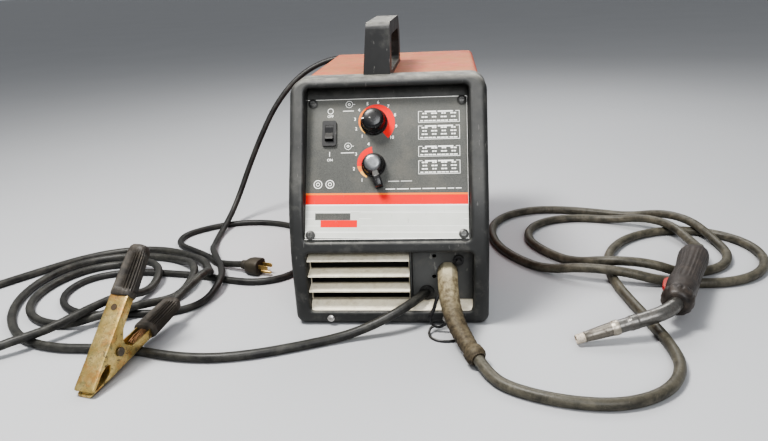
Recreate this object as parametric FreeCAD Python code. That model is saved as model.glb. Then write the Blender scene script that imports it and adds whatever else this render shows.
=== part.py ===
import FreeCAD, Part
import math, os

# Compact wire-feed (MIG) welding machine with gun, work clamp and power cord.
# Millimetres. Origin: centre of the footprint on the floor. +X machine's right as seen from
# the front, +Y towards the rear, +Z up.

V = FreeCAD.Vector
os.makedirs("parts", exist_ok=True)

# ---------------------------------------------------------------- driving dimensions
W_BEZEL = 248.0          # overall width, over the moulded front
H_BODY = 305.0           # height to the top of the moulded front
X_CASE = 117.0           # half width of the sheet case
Z_CASE = 300.0           # top of the sheet case
Y_REAR = 208.0           # rear end of the case
Y_BZ_BACK = -91.0        # rear edge of the moulded front
SHEET = 1.5              # sheet thickness
RIM = 19.5               # width of the front rim
TILT = 28.8              # slope of the control panel from vertical, degrees
PANEL_Y0, PANEL_Z0 = -206.0, 116.0   # lower edge of the control panel
PANEL_L = 184.0          # panel length up its slope
PANEL_XL, PANEL_XR = -104.3, 99.5    # left and right edges of the control panel plate
FRONT = [(-206.5, 1.5), (-208, 35), (-209.2, 65), (-209.5, 93), (-206, 120), (-197, 157), (-173.4, 207), (-150.2, 256), (-127, 305)]  # side profile (Y, Z)
SPEED = (-18.0, 152.0)   # wire speed control on the panel (x, up the slope)
VOLT = (-18.0, 96.0)     # voltage selector on the panel
ROCKER = (-75.0, 138.3)  # power switch on the panel
ROCKER_REST = -12.0      # tilt of the rocker at rest, degrees
GUN_OUT = (72.5, 67.0)   # gun outlet on the cable panel (x, z)
WORK_OUT = (45.6, 38.2)  # work cable outlet
BREAKER = (86.5, 83.0)   # breaker reset button
CABLE_PANEL_Y = -188.0
D_GUN, D_WORK, D_POWER = 13.5, 11.5, 10.0   # cable diameters
HX, HZ = 120.4, 262.0    # side door hinge axis (x, z)

# ---------------------------------------------------------------- helpers
def box(x0, x1, y0, y1, z0, z1):
    return Part.makeBox(x1 - x0, y1 - y0, z1 - z0, V(x0, y0, z0))

def cyl(p, d, r, h):
    return Part.makeCylinder(r, h, V(*p), V(*d))

def cone(p, d, r1, r2, h):
    return Part.makeCone(r1, r2, h, V(*p), V(*d))

def tube_ring(p, d, ro, ri, h):
    return cyl(p, d, ro, h).cut(cyl(p, d, ri, h))

def prism(pts3, vec):
    w = Part.makePolygon([V(*p) for p in pts3] + [V(*pts3[0])])
    return Part.Face(w).extrude(V(*vec))

def prism_yz(pts, x0, x1):
    return prism([(x0, y, z) for y, z in pts], (x1 - x0, 0, 0))

def prism_xz(pts, y0, y1):
    return prism([(x, y0, z) for x, z in pts], (0, y1 - y0, 0))

def prism_xy(pts, z0, z1):
    return prism([(x, y, z0) for x, y in pts], (0, 0, z1 - z0))

def fuse(*s):
    s = [q for q in s]
    r = s[0]
    if len(s) > 1:
        r = r.multiFuse(s[1:])
    r = r.removeSplitter()
    return r

def fil(shape, edges, r):
    for k in (1.0, 0.7, 0.45, 0.25):
        try:
            f = shape.makeFillet(r * k, edges)
            if f.isValid() and f.Volume > 0:
                return f
        except Exception:
            pass
    return shape

def edges_dir(shape, d, pred=lambda e: True):
    out = []
    for e in shape.Edges:
        if e.Curve.TypeId != "Part::GeomLine":
            continue
        t = e.tangentAt(e.FirstParameter)
        if abs(abs(t.dot(V(*d))) - 1) < 1e-4 and pred(e):
            out.append(e)
    return out

def round_box(x0, x1, y0, y1, z0, z1, r, d):
    b = box(x0, x1, y0, y1, z0, z1)
    return fil(b, edges_dir(b, d), r)

def solid(shape):
    s = shape.Solids
    if len(s) == 1:
        return s[0]
    return shape

def frame(shape, o, ex, ey, ez):
    m = FreeCAD.Matrix(ex[0], ey[0], ez[0], o[0], ex[1], ey[1], ez[1], o[1], ex[2], ey[2], ez[2], o[2], 0, 0, 0, 1)
    s = shape.copy()
    s.Placement = FreeCAD.Placement(m).multiply(s.Placement)
    return s

def norm(a):
    l = math.sqrt(sum(q * q for q in a))
    return tuple(q / l for q in a)

def cross(a, b):
    return (a[1] * b[2] - a[2] * b[1], a[2] * b[0] - a[0] * b[2], a[0] * b[1] - a[1] * b[0])

SA, CA = math.sin(math.radians(TILT)), math.cos(math.radians(TILT))
def on_panel(shape):
    # local x across, y up the slope, z out of the panel
    return frame(shape, (0, PANEL_Y0, PANEL_Z0), (1, 0, 0), (0, SA, CA), (0, -CA, SA))

nodes = {}
def node(name, shape):
    nodes[name] = shape

def cord_tube(name, pts, d):
    # straight runs joined by tangent arcs, each arc as large as its two runs allow
    P = [V(*p) for p in pts]
    edges, radii, cur, length = [], [], P[0], 0.0
    for i in range(1, len(P) - 1):
        a, b = P[i] - P[i - 1], P[i + 1] - P[i]
        la, lb = a.Length, b.Length
        ua, ub = a * (1 / la), b * (1 / lb)
        th = math.acos(max(-1.0, min(1.0, ua.dot(ub))))
        t = 0.45 * min(la, lb)
        r = t / math.tan(th / 2)
        radii.append(r)
        p, q = P[i] - ua * t, P[i] + ub * t
        n = ub - ua * math.cos(th)
        n = n * (1 / n.Length)
        c = p + n * r
        mdir = (p - c) + (q - c)
        mid = c + mdir * (r / mdir.Length)
        edges.append(Part.LineSegment(cur, p).toShape())
        edges.append(Part.Arc(p, mid, q).toShape())
        length += (p - cur).Length + r * th
        cur = q
    edges.append(Part.LineSegment(cur, P[-1]).toShape())
    length += (P[-1] - cur).Length
    w = Part.Wire(edges)
    dirn = P[1] - P[0]
    c = Part.Wire([Part.makeCircle(d / 2, P[0], dirn)])
    s = w.makePipeShell([c], True, False)
    s = s.Solids[0] if s.Solids else s
    expect = math.pi * d * d / 4 * length
    print("%s length %.0f mm, radii min %.0f (%.1f d), next %s, volume ratio %.4f, valid %s" % (
        name, length, min(radii), min(radii) / d, [round(q) for q in sorted(radii)[1:5]], s.Volume / expect, s.isValid()))
    node(name, s)
    return s

# ---------------------------------------------------------------- moulded front
def rounded_front(x, z0, z1, rt, rb, y0, y1):
    b = box(-x, x, y0, y1, z0, z1)
    t = [e for e in edges_dir(b, (0, 1, 0)) if e.Vertexes[0].Z > (z0 + z1) / 2]
    b = fil(b, t, rt)
    t = [e for e in edges_dir(b, (0, 1, 0), lambda e: e.Vertexes[0].Z < z0 + 0.1 or (abs(abs(e.Vertexes[0].X) - x) < 0.1 and e.Vertexes[0].Z < z0 + 1))]
    return fil(b, t, rb)

hw = W_BEZEL / 2
IHW_L, IHW_R = hw - RIM, hw - RIM - 3.0     # inner half widths of the moulding, left and right
Z_BZ = 1.5                                  # lower edge of the moulding
bs = Part.BSplineCurve()
bs.interpolate([V(-hw, y, z) for y, z in FRONT])
yb, yt = FRONT[0][0], FRONT[-1][0]
w = Part.Wire([bs.toShape(), Part.makeLine(V(-hw, yt, 305), V(-hw, Y_BZ_BACK, 305)),
               Part.makeLine(V(-hw, Y_BZ_BACK, 305), V(-hw, Y_BZ_BACK, Z_BZ)), Part.makeLine(V(-hw, Y_BZ_BACK, Z_BZ), V(-hw, yb, Z_BZ))])
outer = Part.Face(w).extrude(V(2 * hw, 0, 0)).common(rounded_front(hw, Z_BZ, 305, 20, 12, -230, -80)).removeSplitter()
front_face = max([f for f in outer.Faces if f.CenterOfMass.y < -150 and abs(f.normalAt(*[sum(f.ParameterRange[i:i + 2]) / 2 for i in (0, 2)]).x) < 0.5], key=lambda f: f.Area)
outer = outer.makeFillet(8, front_face.Edges)
back = [(y + 27, max(6.0, min(302.0, z))) for y, z in FRONT]
cav = prism_yz(back + [(-60, 302), (-60, 6)], -hw + 3, hw - 3).common(rounded_front(hw - 3, 6, 302, 17, 9, -230, -50))
ihw = IHW_L
for z0, z1 in ((115.0, 293.0), (20.0, 100.0)):   # the panel recess, and the louvre and cable panel recess
    rc = box(-IHW_L, IHW_R if z0 > 50 else IHW_L, -240, -60, z0, z1)
    rc = fil(rc, edges_dir(rc, (0, 1, 0)), 6)
    outer = outer.cut(rc)
rim_e = []
for e in outer.Edges:
    m = e.valueAt((e.FirstParameter + e.LastParameter) / 2)
    if -IHW_L - 0.01 <= m.x <= IHW_L + 0.01 and 19.9 <= m.z <= 293.1 and m.y < -100:
        rim_e.append(e)
done = False
for r in (4.5, 4.0, 3.5, 2.5, 1.5):
    try:
        q = outer.makeFillet(r, rim_e)
        if q.isValid():
            outer, done = q, True
            print("rim fillet", r, "edges", len(rim_e))
            break
    except Exception:
        pass
if not done:
    print("rim fillet failed")
bezel = outer.cut(cav)
wall = on_panel(box(-ihw - 1, ihw + 1, -6, 203, -5, -2))
wall = wall.common(box(-ihw - 1, ihw + 1, -260, -60, 106, 294.5))
post = box(25, 27.6, -198, -180, 31.2, 104)
head_wall = box(27, ihw + 1, -186, -183, 96, 104)
bezel = bezel.multiFuse([wall, post, head_wall])
# control holes in the moulding's own wall
holes = [cyl((SPEED[0], SPEED[1], -10), (0, 0, 1), 6.0, 12), cyl((VOLT[0], VOLT[1], -10), (0, 0, 1), 6.0, 12),
         box(ROCKER[0] - 8.4, ROCKER[0] + 8.4, ROCKER[1] - 15.4, ROCKER[1] + 15.4, -10, 2)]
SCREW_XY = [(-97.0, 8), (93.0, 8), (-97.0, 178.5), (93.0, 178.5)]
holes += [cyl((x, y, -10), (0, 0, 1), 1.6, 12) for x, y in SCREW_XY]
for h in holes:
    bezel = bezel.cut(on_panel(h))
BEZEL_SCREWS = [(-78, 10.5), (70, 10.5)]
for x, z in BEZEL_SCREWS:
    bezel = bezel.cut(cyl((x, -215, z), (0, 1, 0), 1.9, 34))
bezel = bezel.cut(cyl((-130, -185, 126), (1, 0, 0), 1.45, 20))
bezel = bezel.removeSplitter()
node("front_bezel", solid(bezel))

# nameplate panel with its holes
plate = round_box(PANEL_XL, PANEL_XR, 2.0, PANEL_L, -2, 0, 4, (0, 0, 1))
plate = plate.cut(cyl((SPEED[0], SPEED[1], -3), (0, 0, 1), 5.0, 4)).cut(cyl((VOLT[0], VOLT[1], -3), (0, 0, 1), 5.0, 4))
plate = plate.cut(box(ROCKER[0] - 8.0, ROCKER[0] + 8.0, ROCKER[1] - 15.0, ROCKER[1] + 15.0, -3, 1))
for x, y in SCREW_XY:
    plate = plate.cut(cyl((x, y, -3), (0, 0, 1), 2.1, 4))
node("nameplate_panel", on_panel(plate))

def pan_screw(p, d, head_r, head_h, r, l):
    h = cyl(p, d, head_r, head_h * 0.5)
    q = tuple(p[i] + d[i] * head_h * 0.5 for i in range(3))
    h = h.fuse(cone(q, d, head_r, head_r * 0.55, head_h * 0.5))
    b = tuple(-v for v in d)
    return h.fuse(cyl(p, b, r, l)).removeSplitter()

sc = []
for x, y in SCREW_XY:
    s = pan_screw((x, y, 0), (0, 0, 1), 5.9, 3.2, 1.55, 11)
    s = s.cut(box(x - 3.0, x + 3.0, y - 0.6, y + 0.6, 2.0, 4)).cut(box(x - 0.6, x + 0.6, y - 3.0, y + 3.0, 2.0, 4))
    sc.append(on_panel(s))
node("nameplate_screws", Part.makeCompound(sc))

# sloping sill across the lower recess, and the louvres left of the cable panel
sl = [prism_yz([(-205.5, 20.3), (-205.5, 21.6), (-190.2, 29.0), (-188.3, 29.0), (-188.3, 20.3)], -IHW_L + 0.4, IHW_L - 0.4)]
sl.append(box(-104.3, 24.8, -188.4, -180.2, 20.3, 30.8))
for z in (46.2, 67.1, 88.2):
    sl.append(prism_yz([(-205.6, z), (-205.6, z + 2.0), (-204.4, z + 2.6), (-188, z + 6.2), (-186, z + 6.2), (-186, z + 3.8), (-188, z + 3.8)], -104.3, 24.8))
sl.append(box(-104.3, -102.6, -190, -180.2, 30, 99.4))
sl.append(box(23.2, 24.8, -190, -180.2, 30, 99.4))
sl.append(box(-104.3, 24.8, -181.8, -180.2, 30, 99.4))
lv = fuse(*sl)
for z in (36.0, 56.5, 77.5):
    for c in range(4):
        lv = lv.cut(box(-98 + 30.5 * c, -72 + 30.5 * c, -184, -178, z, z + 5.0))
lim = round_box(-IHW_L + 0.4, IHW_L - 0.4, -210, -170, 20.3, 99.5, 6.4, (0, 1, 0))
lv = lv.common(lim).cut(cyl((WORK_OUT[0], -215, WORK_OUT[1]), (0, 1, 0), 10.4, 30))
node("front_louvres", solid(lv.removeSplitter()))

# cable panel with outlets
cp = box(28.2, 104.3, CABLE_PANEL_Y, CABLE_PANEL_Y + 2, 20.6, 99.4)
cp = fil(cp, edges_dir(cp, (0, 1, 0), lambda e: e.Vertexes[0].X > 100), 7.5)
cp = cp.cut(cyl((GUN_OUT[0], -200, GUN_OUT[1]), (0, 1, 0), 12.9, 30))
cp = cp.cut(cyl((WORK_OUT[0], -200, WORK_OUT[1]), (0, 1, 0), 8.2, 30))
cp = cp.cut(cyl((BREAKER[0], -200, BREAKER[1]), (0, 1, 0), 4.6, 30))
cp = cp.cut(cyl((56, -200, 88), (0, 1, 0), 2.4, 30))
cp = cp.cut(cyl((55.5, -200, 60), (0, 1, 0), 2.6, 30))
node("cable_panel", solid(cp))

# ---------------------------------------------------------------- controls
rh = box(-8.9, 8.9, -16.5, 16.5, 0, 3.0)
rh = fil(rh, edges_dir(rh, (0, 0, 1)), 2.5)
rh = rh.fuse(box(-7.9, 7.9, -14.9, 14.9, -22, 0.5)).cut(box(-5.3, 5.3, -10.7, 10.7, -16, 5)).removeSplitter()
rh = rh.cut(cyl((-7.9, 0, -1.0), (1, 0, 0), 1.58, 15.8))
rh = rh.fuse(box(-3, -2, -10, -9, -30, -21.5)).fuse(box(-3, -2, 9, 10, -30, -21.5)).removeSplitter()
rh.translate(V(ROCKER[0], ROCKER[1], 0))
node("rocker_housing", solid(on_panel(rh)))
rk = prism([(-5.0, y, z) for y, z in [(-9.6, -5), (-9.6, 3.8), (-6.6, 3.5), (0, 1.6), (6.6, 3.5), (9.6, 3.8), (9.6, -5), (0, -8)]], (10.0, 0, 0))
rk.translate(V(0, 0, 0))
rk.rotate(V(0, 0, -2), V(1, 0, 0), ROCKER_REST)
rk.translate(V(0, 0, 1.0))
rk = rk.fuse(cyl((-7.7, 0, -1.0), (1, 0, 0), 1.5, 15.4)).removeSplitter()
rk.translate(V(ROCKER[0], ROCKER[1], 0))
node("power_rocker", solid(on_panel(rk)))

def knob(xy, r0, r1, h, shaft_len, bar):
    k = cyl((0, 0, 0.8), (0, 0, 1), r0, 3.2)
    k = k.fuse(cone((0, 0, 4.0), (0, 0, 1), r1 + 1.2, r1 - 0.6, h - 6))
    k = k.fuse(cone((0, 0, h - 2.0), (0, 0, 1), r1 - 0.6, r1 - 4.0, 2.8))
    if bar:
        k = k.fuse(prism([(0, -4.6, 1.0), (r0 + 15.5, -4.9, 1.0), (r0 + 15.5, 4.9, 1.0), (0, 4.6, 1.0)], (0, 0, h - 4.5)))
    k = k.fuse(cyl((0, 0, -shaft_len), (0, 0, 1), 3.0, shaft_len + 2))
    return k.removeSplitter()

ks = knob(SPEED, 17.0, 14.2, 20.0, 22, False)
ks = ks.fuse(box(-15.6, -11.0, -0.9, 0.9, 3.5, 17.6)).removeSplitter()
ks.translate(V(SPEED[0], SPEED[1], 0))
node("speed_knob", solid(on_panel(ks)))
kv = knob(VOLT, 15.0, 12.2, 18.0, 22, True)
kv.rotate(V(0, 0, 0), V(0, 0, 1), -75)
kv.translate(V(VOLT[0], VOLT[1], 0))
node("voltage_knob", solid(on_panel(kv)))
pot = tube_ring((0, 0, -14), (0, 0, 1), 4.8, 3.06, 13.4)
pot = pot.fuse(tube_ring((0, 0, -8.5), (0, 0, 1), 7.5, 4.0, 3.3))
pot = pot.fuse(cyl((0, 0, -26), (0, 0, 1), 12.0, 14).cut(cyl((0, 0, -24), (0, 0, 1), 3.06, 14)))
pot = pot.fuse(box(-6, 6, -18, -11, -16, -14.5)).removeSplitter()
pot.translate(V(SPEED[0], SPEED[1], 0))
node("speed_potentiometer", solid(on_panel(pot)))
sw = tube_ring((0, 0, -14), (0, 0, 1), 4.8, 3.06, 13.4)
sw = sw.fuse(tube_ring((0, 0, -8.5), (0, 0, 1), 7.5, 4.0, 3.3))
sw = sw.fuse(box(-17, 17, -17, 17, -38, -12).cut(cyl((0, 0, -24), (0, 0, 1), 3.06, 14)))
for a in range(4):
    sw = sw.fuse(box(-14 + 8 * a, -10 + 8 * a, -1, 0, -44, -37))
sw = sw.removeSplitter()
sw.translate(V(VOLT[0], VOLT[1], 0))
node("voltage_switch", solid(on_panel(sw)))

bx, bz = BREAKER
bb = tube_ring((bx, CABLE_PANEL_Y - 4.0, bz), (0, 1, 0), 6.6, 3.6, 4.0)
bb = bb.fuse(tube_ring((bx, CABLE_PANEL_Y - 1, bz), (0, 1, 0), 4.5, 3.6, 12))
bb = bb.fuse(box(bx - 8, bx + 8, CABLE_PANEL_Y + 6, CABLE_PANEL_Y + 34, bz - 1, bz + 12).cut(cyl((bx, CABLE_PANEL_Y, bz), (0, 1, 0), 3.6, 20)))
bb = bb.fuse(tube_ring((bx, CABLE_PANEL_Y + 2.2, bz), (0, 1, 0), 6.2, 4.4, 3.8)).removeSplitter()
node("breaker_body", solid(bb))
node("breaker_button", fuse(cyl((bx, CABLE_PANEL_Y - 9.0, bz), (0, 1, 0), 3.3, 22)))

# ---------------------------------------------------------------- case, door, back, base, handle
def u_profile(x, zt, r):
    b = box(-x, x, Y_BZ_BACK + 1.0, Y_REAR, -40, zt)
    t = [e for e in edges_dir(b, (0, 1, 0)) if e.Vertexes[0].Z > 0]
    return fil(b, t, r)
shell = u_profile(X_CASE, Z_CASE, 9).cut(u_profile(X_CASE - SHEET, Z_CASE - SHEET, 7.5).fuse(box(-X_CASE + SHEET, X_CASE - SHEET, Y_BZ_BACK - 5, Y_REAR + 5, -60, 285)))
wrap = shell.cut(box(-200, 200, -300, 300, -60, 8)).cut(box(60, 200, -300, 300, -60, 262.1))
for x, y in ((-13.2, -88), (-13.2, 76)):
    wrap = wrap.cut(cyl((x, y, 290), (0, 0, 1), 2.3, 20))
SIDE_SCREWS = [(-70, 22), (60, 22), (190, 22), (190, 270)]
for y, z in SIDE_SCREWS:
    wrap = wrap.cut(cyl((-130, y, z), (1, 0, 0), 1.9, 20))
node("case_wrap", solid(wrap.removeSplitter()))

door = box(X_CASE - SHEET, X_CASE, Y_BZ_BACK + 1.5, Y_REAR - 1.0, 20, 266.5)
door = door.fuse(box(X_CASE - 11, X_CASE - SHEET + 0.1, Y_BZ_BACK + 1.5, Y_REAR - 5.0, 20, 21.5))
door = door.fuse(box(X_CASE - 0.2, X_CASE + 1.2, -72, 192, 252, HZ - 1.2))
door = door.cut(cyl((100, 60, 45), (1, 0, 0), 6.05, 30))
# small stops for the hinge knuckles
KN = 24.0
ys = [-72 + i * KN for i in range(11)]
kn_d, kn_c = None, None
for i, y in enumerate(ys):
    if i % 2:
        k = tube_ring((HX, y + 0.3, HZ), (0, 1, 0), 3.0, 1.56, KN - 0.6)
        k = k.fuse(box(X_CASE - 0.2, HX - 1.0, y + 0.3, y + KN - 0.3, 256, HZ - 1.3).cut(cyl((HX, y, HZ), (0, 1, 0), 1.56, KN)))
        kn_d = k if kn_d is None else kn_d.fuse(k)
    else:
        k = tube_ring((HX, y + 0.3, HZ), (0, 1, 0), 3.0, 1.4, KN - 0.6)
        k = k.fuse(box(X_CASE + 0.05, HX - 1.0, y + 0.3, y + KN - 0.3, HZ + 1.3, 280))
        kn_c = k if kn_c is None else kn_c.fuse(k)
door = door.cut(box(X_CASE - 5, X_CASE + 5, -200, 250, HZ - 0.8, 300)).fuse(kn_d)
for i, y in enumerate(ys):
    if i % 2 == 0:
        door = door.cut(box(X_CASE + 0.02, X_CASE + 8, y - 0.3, y + KN + 0.3, HZ - 6, HZ + 10))
node("side_door", solid(door.removeSplitter()))
pin = cyl((HX, ys[0] - 1, HZ), (0, 1, 0), 1.5, 11 * KN + 2)
node("door_hinge", solid(kn_c.fuse(box(X_CASE + 0.05, X_CASE + 1.2, -72, 192, HZ + 7.0, 282)).fuse(pin).removeSplitter()))

lt = cyl((X_CASE - 2.0, 60, 45), (1, 0, 0), 6.0, 3.2)
lt = lt.fuse(cyl((X_CASE + 0.6, 60, 45), (1, 0, 0), 10.0, 2.4))
lt = lt.fuse(box(X_CASE + 2.8, X_CASE + 9.5, 57.6, 62.4, 36.5, 53.5))
lt = lt.fuse(cyl((X_CASE - 8.5, 60, 45), (1, 0, 0), 3.5, 8.0)).fuse(box(X_CASE - 8.5, X_CASE - 6.5, 55, 65, 28, 49)).removeSplitter()
node("door_latch", solid(lt))

rear = round_box(-X_CASE + 1.7, X_CASE - 1.7, Y_REAR - 3.0, Y_REAR - 1.5, 6.6, Z_CASE - 1.7, 7.0, (0, 1, 0))
for r in range(7):
    for c in range(2):
        rear = rear.cut(box(-104 + 46 * c, -66 + 46 * c, 190, 220, 130 + 14 * r, 135 + 14 * r))
rear = rear.cut(cyl((-85, 190, 281), (0, 1, 0), 7.6, 40))
node("rear_panel", solid(rear))

base = box(-X_CASE + 2, X_CASE - 2, -88, Y_REAR - 3.1, 6.05, 7.55).fuse(box(-110, 110, -168, -87, 6.05, 7.55))
base = base.fuse(box(-X_CASE + 2, -X_CASE + 3.5, -88, Y_REAR - 3.2, 6.05, 18))
base = base.fuse(box(X_CASE - 13, X_CASE - 11.5, -88, Y_REAR - 3.2, 6.05, 18)).removeSplitter()
for x, y in ((-95, 180), (95, 180), (-95, -60), (95, -60)):
    base = base.cut(cyl((x, y, 0), (0, 0, 1), 2.1, 20))
node("base_pan", solid(base))
ft = []
for x, y in ((-95, 180), (95, 180), (-95, -60), (95, -60)):
    ft.append(cone((x, y, 0), (0, 0, 1), 9.0, 11.0, 6.05).fuse(cyl((x, y, 5), (0, 0, 1), 2.0, 4.5)).removeSplitter())
for x in (-100, 100):
    ft.append(cone((x, -180, 0), (0, 0, 1), 9.0, 9.5, 1.5))
node("rubber_feet", Part.makeCompound(ft))

# carrying handle: front-to-back loop
hc = -13.2
def loop_prism(pts, rads, x0, x1):
    q = prism_yz(pts, x0, x1)
    for (y, z), r in zip(pts, rads):
        if r > 0:
            q = fil(q, edges_dir(q, (1, 0, 0), lambda e: abs(e.Vertexes[0].Y - y) < 0.2 and abs(e.Vertexes[0].Z - z) < 0.2), r)
    return q
out = loop_prism([(-103.5, 300.05), (-100.5, 369.4), (58, 369.4), (84, 345), (92, 300.05)], (0, 9, 22, 14, 0), hc - 30, hc + 30)
inn = loop_prism([(-78, 306), (-74, 352), (46, 352), (60, 334), (64, 306)], (5, 10, 12, 9, 5), hc - 40, hc + 40)
sides = prism_xz([(-32.0, 299), (-31.9, 308), (-26.0, 371), (3.9, 371), (2.6, 308), (2.5, 299)], -200, 200)
hnd = out.common(sides).removeSplitter()
he = [e for e in hnd.Edges if e.BoundBox.ZMax > 303 and (e.BoundBox.XLength > 2.0 or e.BoundBox.YLength > 1.0 or e.BoundBox.ZLength > 20) and not (e.BoundBox.XLength > 20)]
hnd = fil(hnd, he, 5.5)
hnd = hnd.cut(inn)
he = [e for e in hnd.Edges if -80 < e.BoundBox.YMin and e.BoundBox.YMax < 66 and e.BoundBox.ZMin > 308 and e.BoundBox.XLength < 20]
hnd = fil(hnd, he, 2.5)
for y in (-88, 76):
    hnd = hnd.cut(cyl((hc, y, 290), (0, 0, 1), 2.0, 16 + 10))
hnd = hnd.cut(box(-60, 60, -140, Y_BZ_BACK + 0.05, 290, 305.05))
print("handle valid", hnd.isValid(), len(hnd.Solids), len(hnd.Faces))
node("handle", solid(hnd.removeSplitter()))

cs = []
for y, z in SIDE_SCREWS:
    s = pan_screw((-X_CASE, y, z), (-1, 0, 0), 4.2, 2.4, 1.8, 9)
    cs.append(s.cut(box(-X_CASE - 3, -X_CASE - 1.4, y - 2.6, y + 2.6, z - 0.5, z + 0.5)))
for x, z in BEZEL_SCREWS:
    ysf = -207.4
    s = pan_screw((x, ysf, z), (0, -1, 0), 4.6, 2.6, 1.85, 12)
    cs.append(s.cut(box(x - 2.8, x + 2.8, ysf - 3, ysf - 1.6, z - 0.5, z + 0.5)))
cs.append(pan_screw((-124, -185, 126), (-1, 0, 0), 4.4, 2.4, 1.4, 6))
for y in (-88, 76):
    cs.append(cyl((hc, y, 294), (0, 0, 1), 1.95, 20).fuse(cyl((hc, y, 294), (0, 0, 1), 5.0, 4.4)).removeSplitter())
node("case_screws", Part.makeCompound(cs))

# ---------------------------------------------------------------- inside: frame and power section
PX = -13.0
part_ = box(PX, PX + SHEET, -100, Y_REAR - 3.3, 7.6, 292)
part_ = part_.fuse(box(PX - 14, PX + 0.1, -80, 200, 7.6, 9.1)).removeSplitter()
part_ = part_.cut(cyl((PX - 5, 95, 150), (1, 0, 0), 5.0, 20))
part_ = part_.cut(box(PX - 5, PX + 5, -130, -70, 250, 300))
node("partition", solid(part_))

core = box(-108, -30, 12, 112, 9.2, 84).cut(box(-121, -20, 30, 48, 24, 69)).cut(box(-121, -20, 76, 94, 24, 69))
core = core.fuse(box(-108, -30, 2, 12.1, 7.6, 14)).fuse(box(-108, -30, 111.9, 122, 7.6, 14)).removeSplitter()
node("transformer_core", solid(core))
coil = box(-114, -22, 30.4, 93.6, 24.4, 68.6)
coil = fil(coil, edges_dir(coil, (0, 0, 1)), 9).cut(box(-108.2, -29.8, 47.8, 76.2, 20, 75))
node("transformer_coils", solid(coil))
choke = box(-90, -44, 140, 190, 7.6, 52).cut(box(-110, -40, 152, 178, 18, 42))
choke = choke.fuse(box(-97, -37, 151.9, 178.1, 22, 38)).removeSplitter()
node("output_choke", solid(choke))
cap = cyl((-66, -78, 34), (0, 1, 0), 24, 68).fuse(cyl((-74, -84, 34), (0, 1, 0), 3, 7)).fuse(cyl((-58, -84, 34), (0, 1, 0), 3, 7))
cap = cap.fuse(box(-92, -40, -60, -40, 7.6, 12)).removeSplitter()
node("capacitor", solid(cap))
rc = box(-24, -20, -50, 40, 120, 215)
for i in range(9):
    rc = rc.fuse(box(-52, -23.9, -50 + i * 11, -48 + i * 11, 120, 215))
rc = rc.fuse(box(-20.1, PX, -30, -20, 130, 140)).fuse(box(-20.1, PX, 10, 20, 190, 200))
for k in range(2):
    rc = rc.fuse(cyl((-20.1, -5 + 22 * k, 170), (1, 0, 0), 6.0, 3.5))
node("rectifier", solid(rc.removeSplitter()))
pcb = box(-22.6, -21, -90, 0, 224, 288)
for x in (-80, -10):
    pcb = pcb.fuse(cyl((-21.1, x, 232), (1, 0, 0), 2.5, 8.1))
pcb = pcb.fuse(box(-40, -22.5, -84, -66, 230, 246)).fuse(box(-36, -22.5, -58, -40, 252, 280)).fuse(cyl((-46, -22, 240), (1, 0, 0), 6, 23.5))
pcb = pcb.fuse(box(-30, -22.5, -12, -3, 250, 282)).removeSplitter()
node("control_board", solid(pcb))
FAN = (-64.0, 178.0)
fm = tube_ring((FAN[0], 120, FAN[1]), (0, 1, 0), 22, 2.55, 36)
fm = fm.fuse(box(FAN[0] - 4, PX, 126, 129, FAN[1] - 6, FAN[1] + 6).cut(cyl((FAN[0], 110, FAN[1]), (0, 1, 0), 2.55, 60)))
fm = fm.fuse(box(PX - 1.5, PX, 118, 138, FAN[1] - 14, FAN[1] + 14)).removeSplitter()
node("fan_motor", solid(fm))
fb = cyl((FAN[0], 122, FAN[1]), (0, 1, 0), 2.5, 60).fuse(cyl((FAN[0], 162, FAN[1]), (0, 1, 0), 11, 20))
for k in range(5):
    bl = box(9, 47, -1.0, 1.0, -11, 11)
    bl.rotate(V(0, 0, 0), V(1, 0, 0), 62)
    bl.rotate(V(0, 0, 0), V(0, 1, 0), 72 * k)
    bl.translate(V(FAN[0], 172, FAN[1]))
    fb = fb.fuse(bl)
node("fan_blade", solid(fb.removeSplitter()))

# ---------------------------------------------------------------- wire drive and spool
WX, WZ = GUN_OUT
DY, DZ = -96.0, WZ - 15.0
wd = box(PX + SHEET, 52, -128, -66, 34, 92)
wd = wd.fuse(cyl((20, -66.1, 63), (0, 1, 0), 26, 62))
wd = wd.fuse(box(51.9, 58, -134, -58, 30, 108))
wd = wd.fuse(tube_ring((WX, -178, WZ), (0, 1, 0), 5.5, 1.2, 50)).fuse(box(57.9, WX + 6, -134, -128, WZ - 8, WZ + 8).cut(cyl((WX, -180, WZ), (0, 1, 0), 1.2, 80)))
wd = wd.fuse(tube_ring((WX, -66, WZ), (0, 1, 0), 4.0, 1.2, 22)).fuse(box(57.9, WX + 5, -66, -58, WZ - 6, WZ + 6).cut(cyl((WX, -180, WZ), (0, 1, 0), 1.2, 180)))
wd = wd.cut(cyl((30, DY, DZ), (1, 0, 0), 4.05, 40))
wd = wd.fuse(cyl((57.9, -124, 97), (1, 0, 0), 4.0, 24)).removeSplitter()
node("wire_drive_gearmotor", solid(wd))
dr = cyl((WX - 5.5, DY, DZ), (1, 0, 0), 14.6, 11).fuse(cyl((34, DY, DZ), (1, 0, 0), 4.0, WX + 8 - 34)).fuse(cyl((WX + 5.4, DY, DZ), (1, 0, 0), 7, 3)).removeSplitter()
node("drive_roll", solid(dr))
IY, IZ = DY, WZ + 0.4 + 12.0
ia = prism_yz([(-132, 90), (-132, 104), (-116, 104), (-88, 100), (-84, 88), (-84, 74), (-92, 70), (-102, 70), (-110, 84), (-118, 90)], WX - 14.0, WX - 7.0)
ia = ia.fuse(prism_yz([(-132, 100), (-132, 108), (-84, 108), (-84, 100)], WX - 14.0, WX + 8.0))
ia = ia.cut(cyl((40, -124, 97), (1, 0, 0), 4.06, 60))
ia = ia.fuse(cyl((WX - 7.1, IY, IZ), (1, 0, 0), 3.0, 15.0))
ia = ia.cut(cyl((WX + 1, -96, 95), (0, 0, 1), 3.06, 30))
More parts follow.
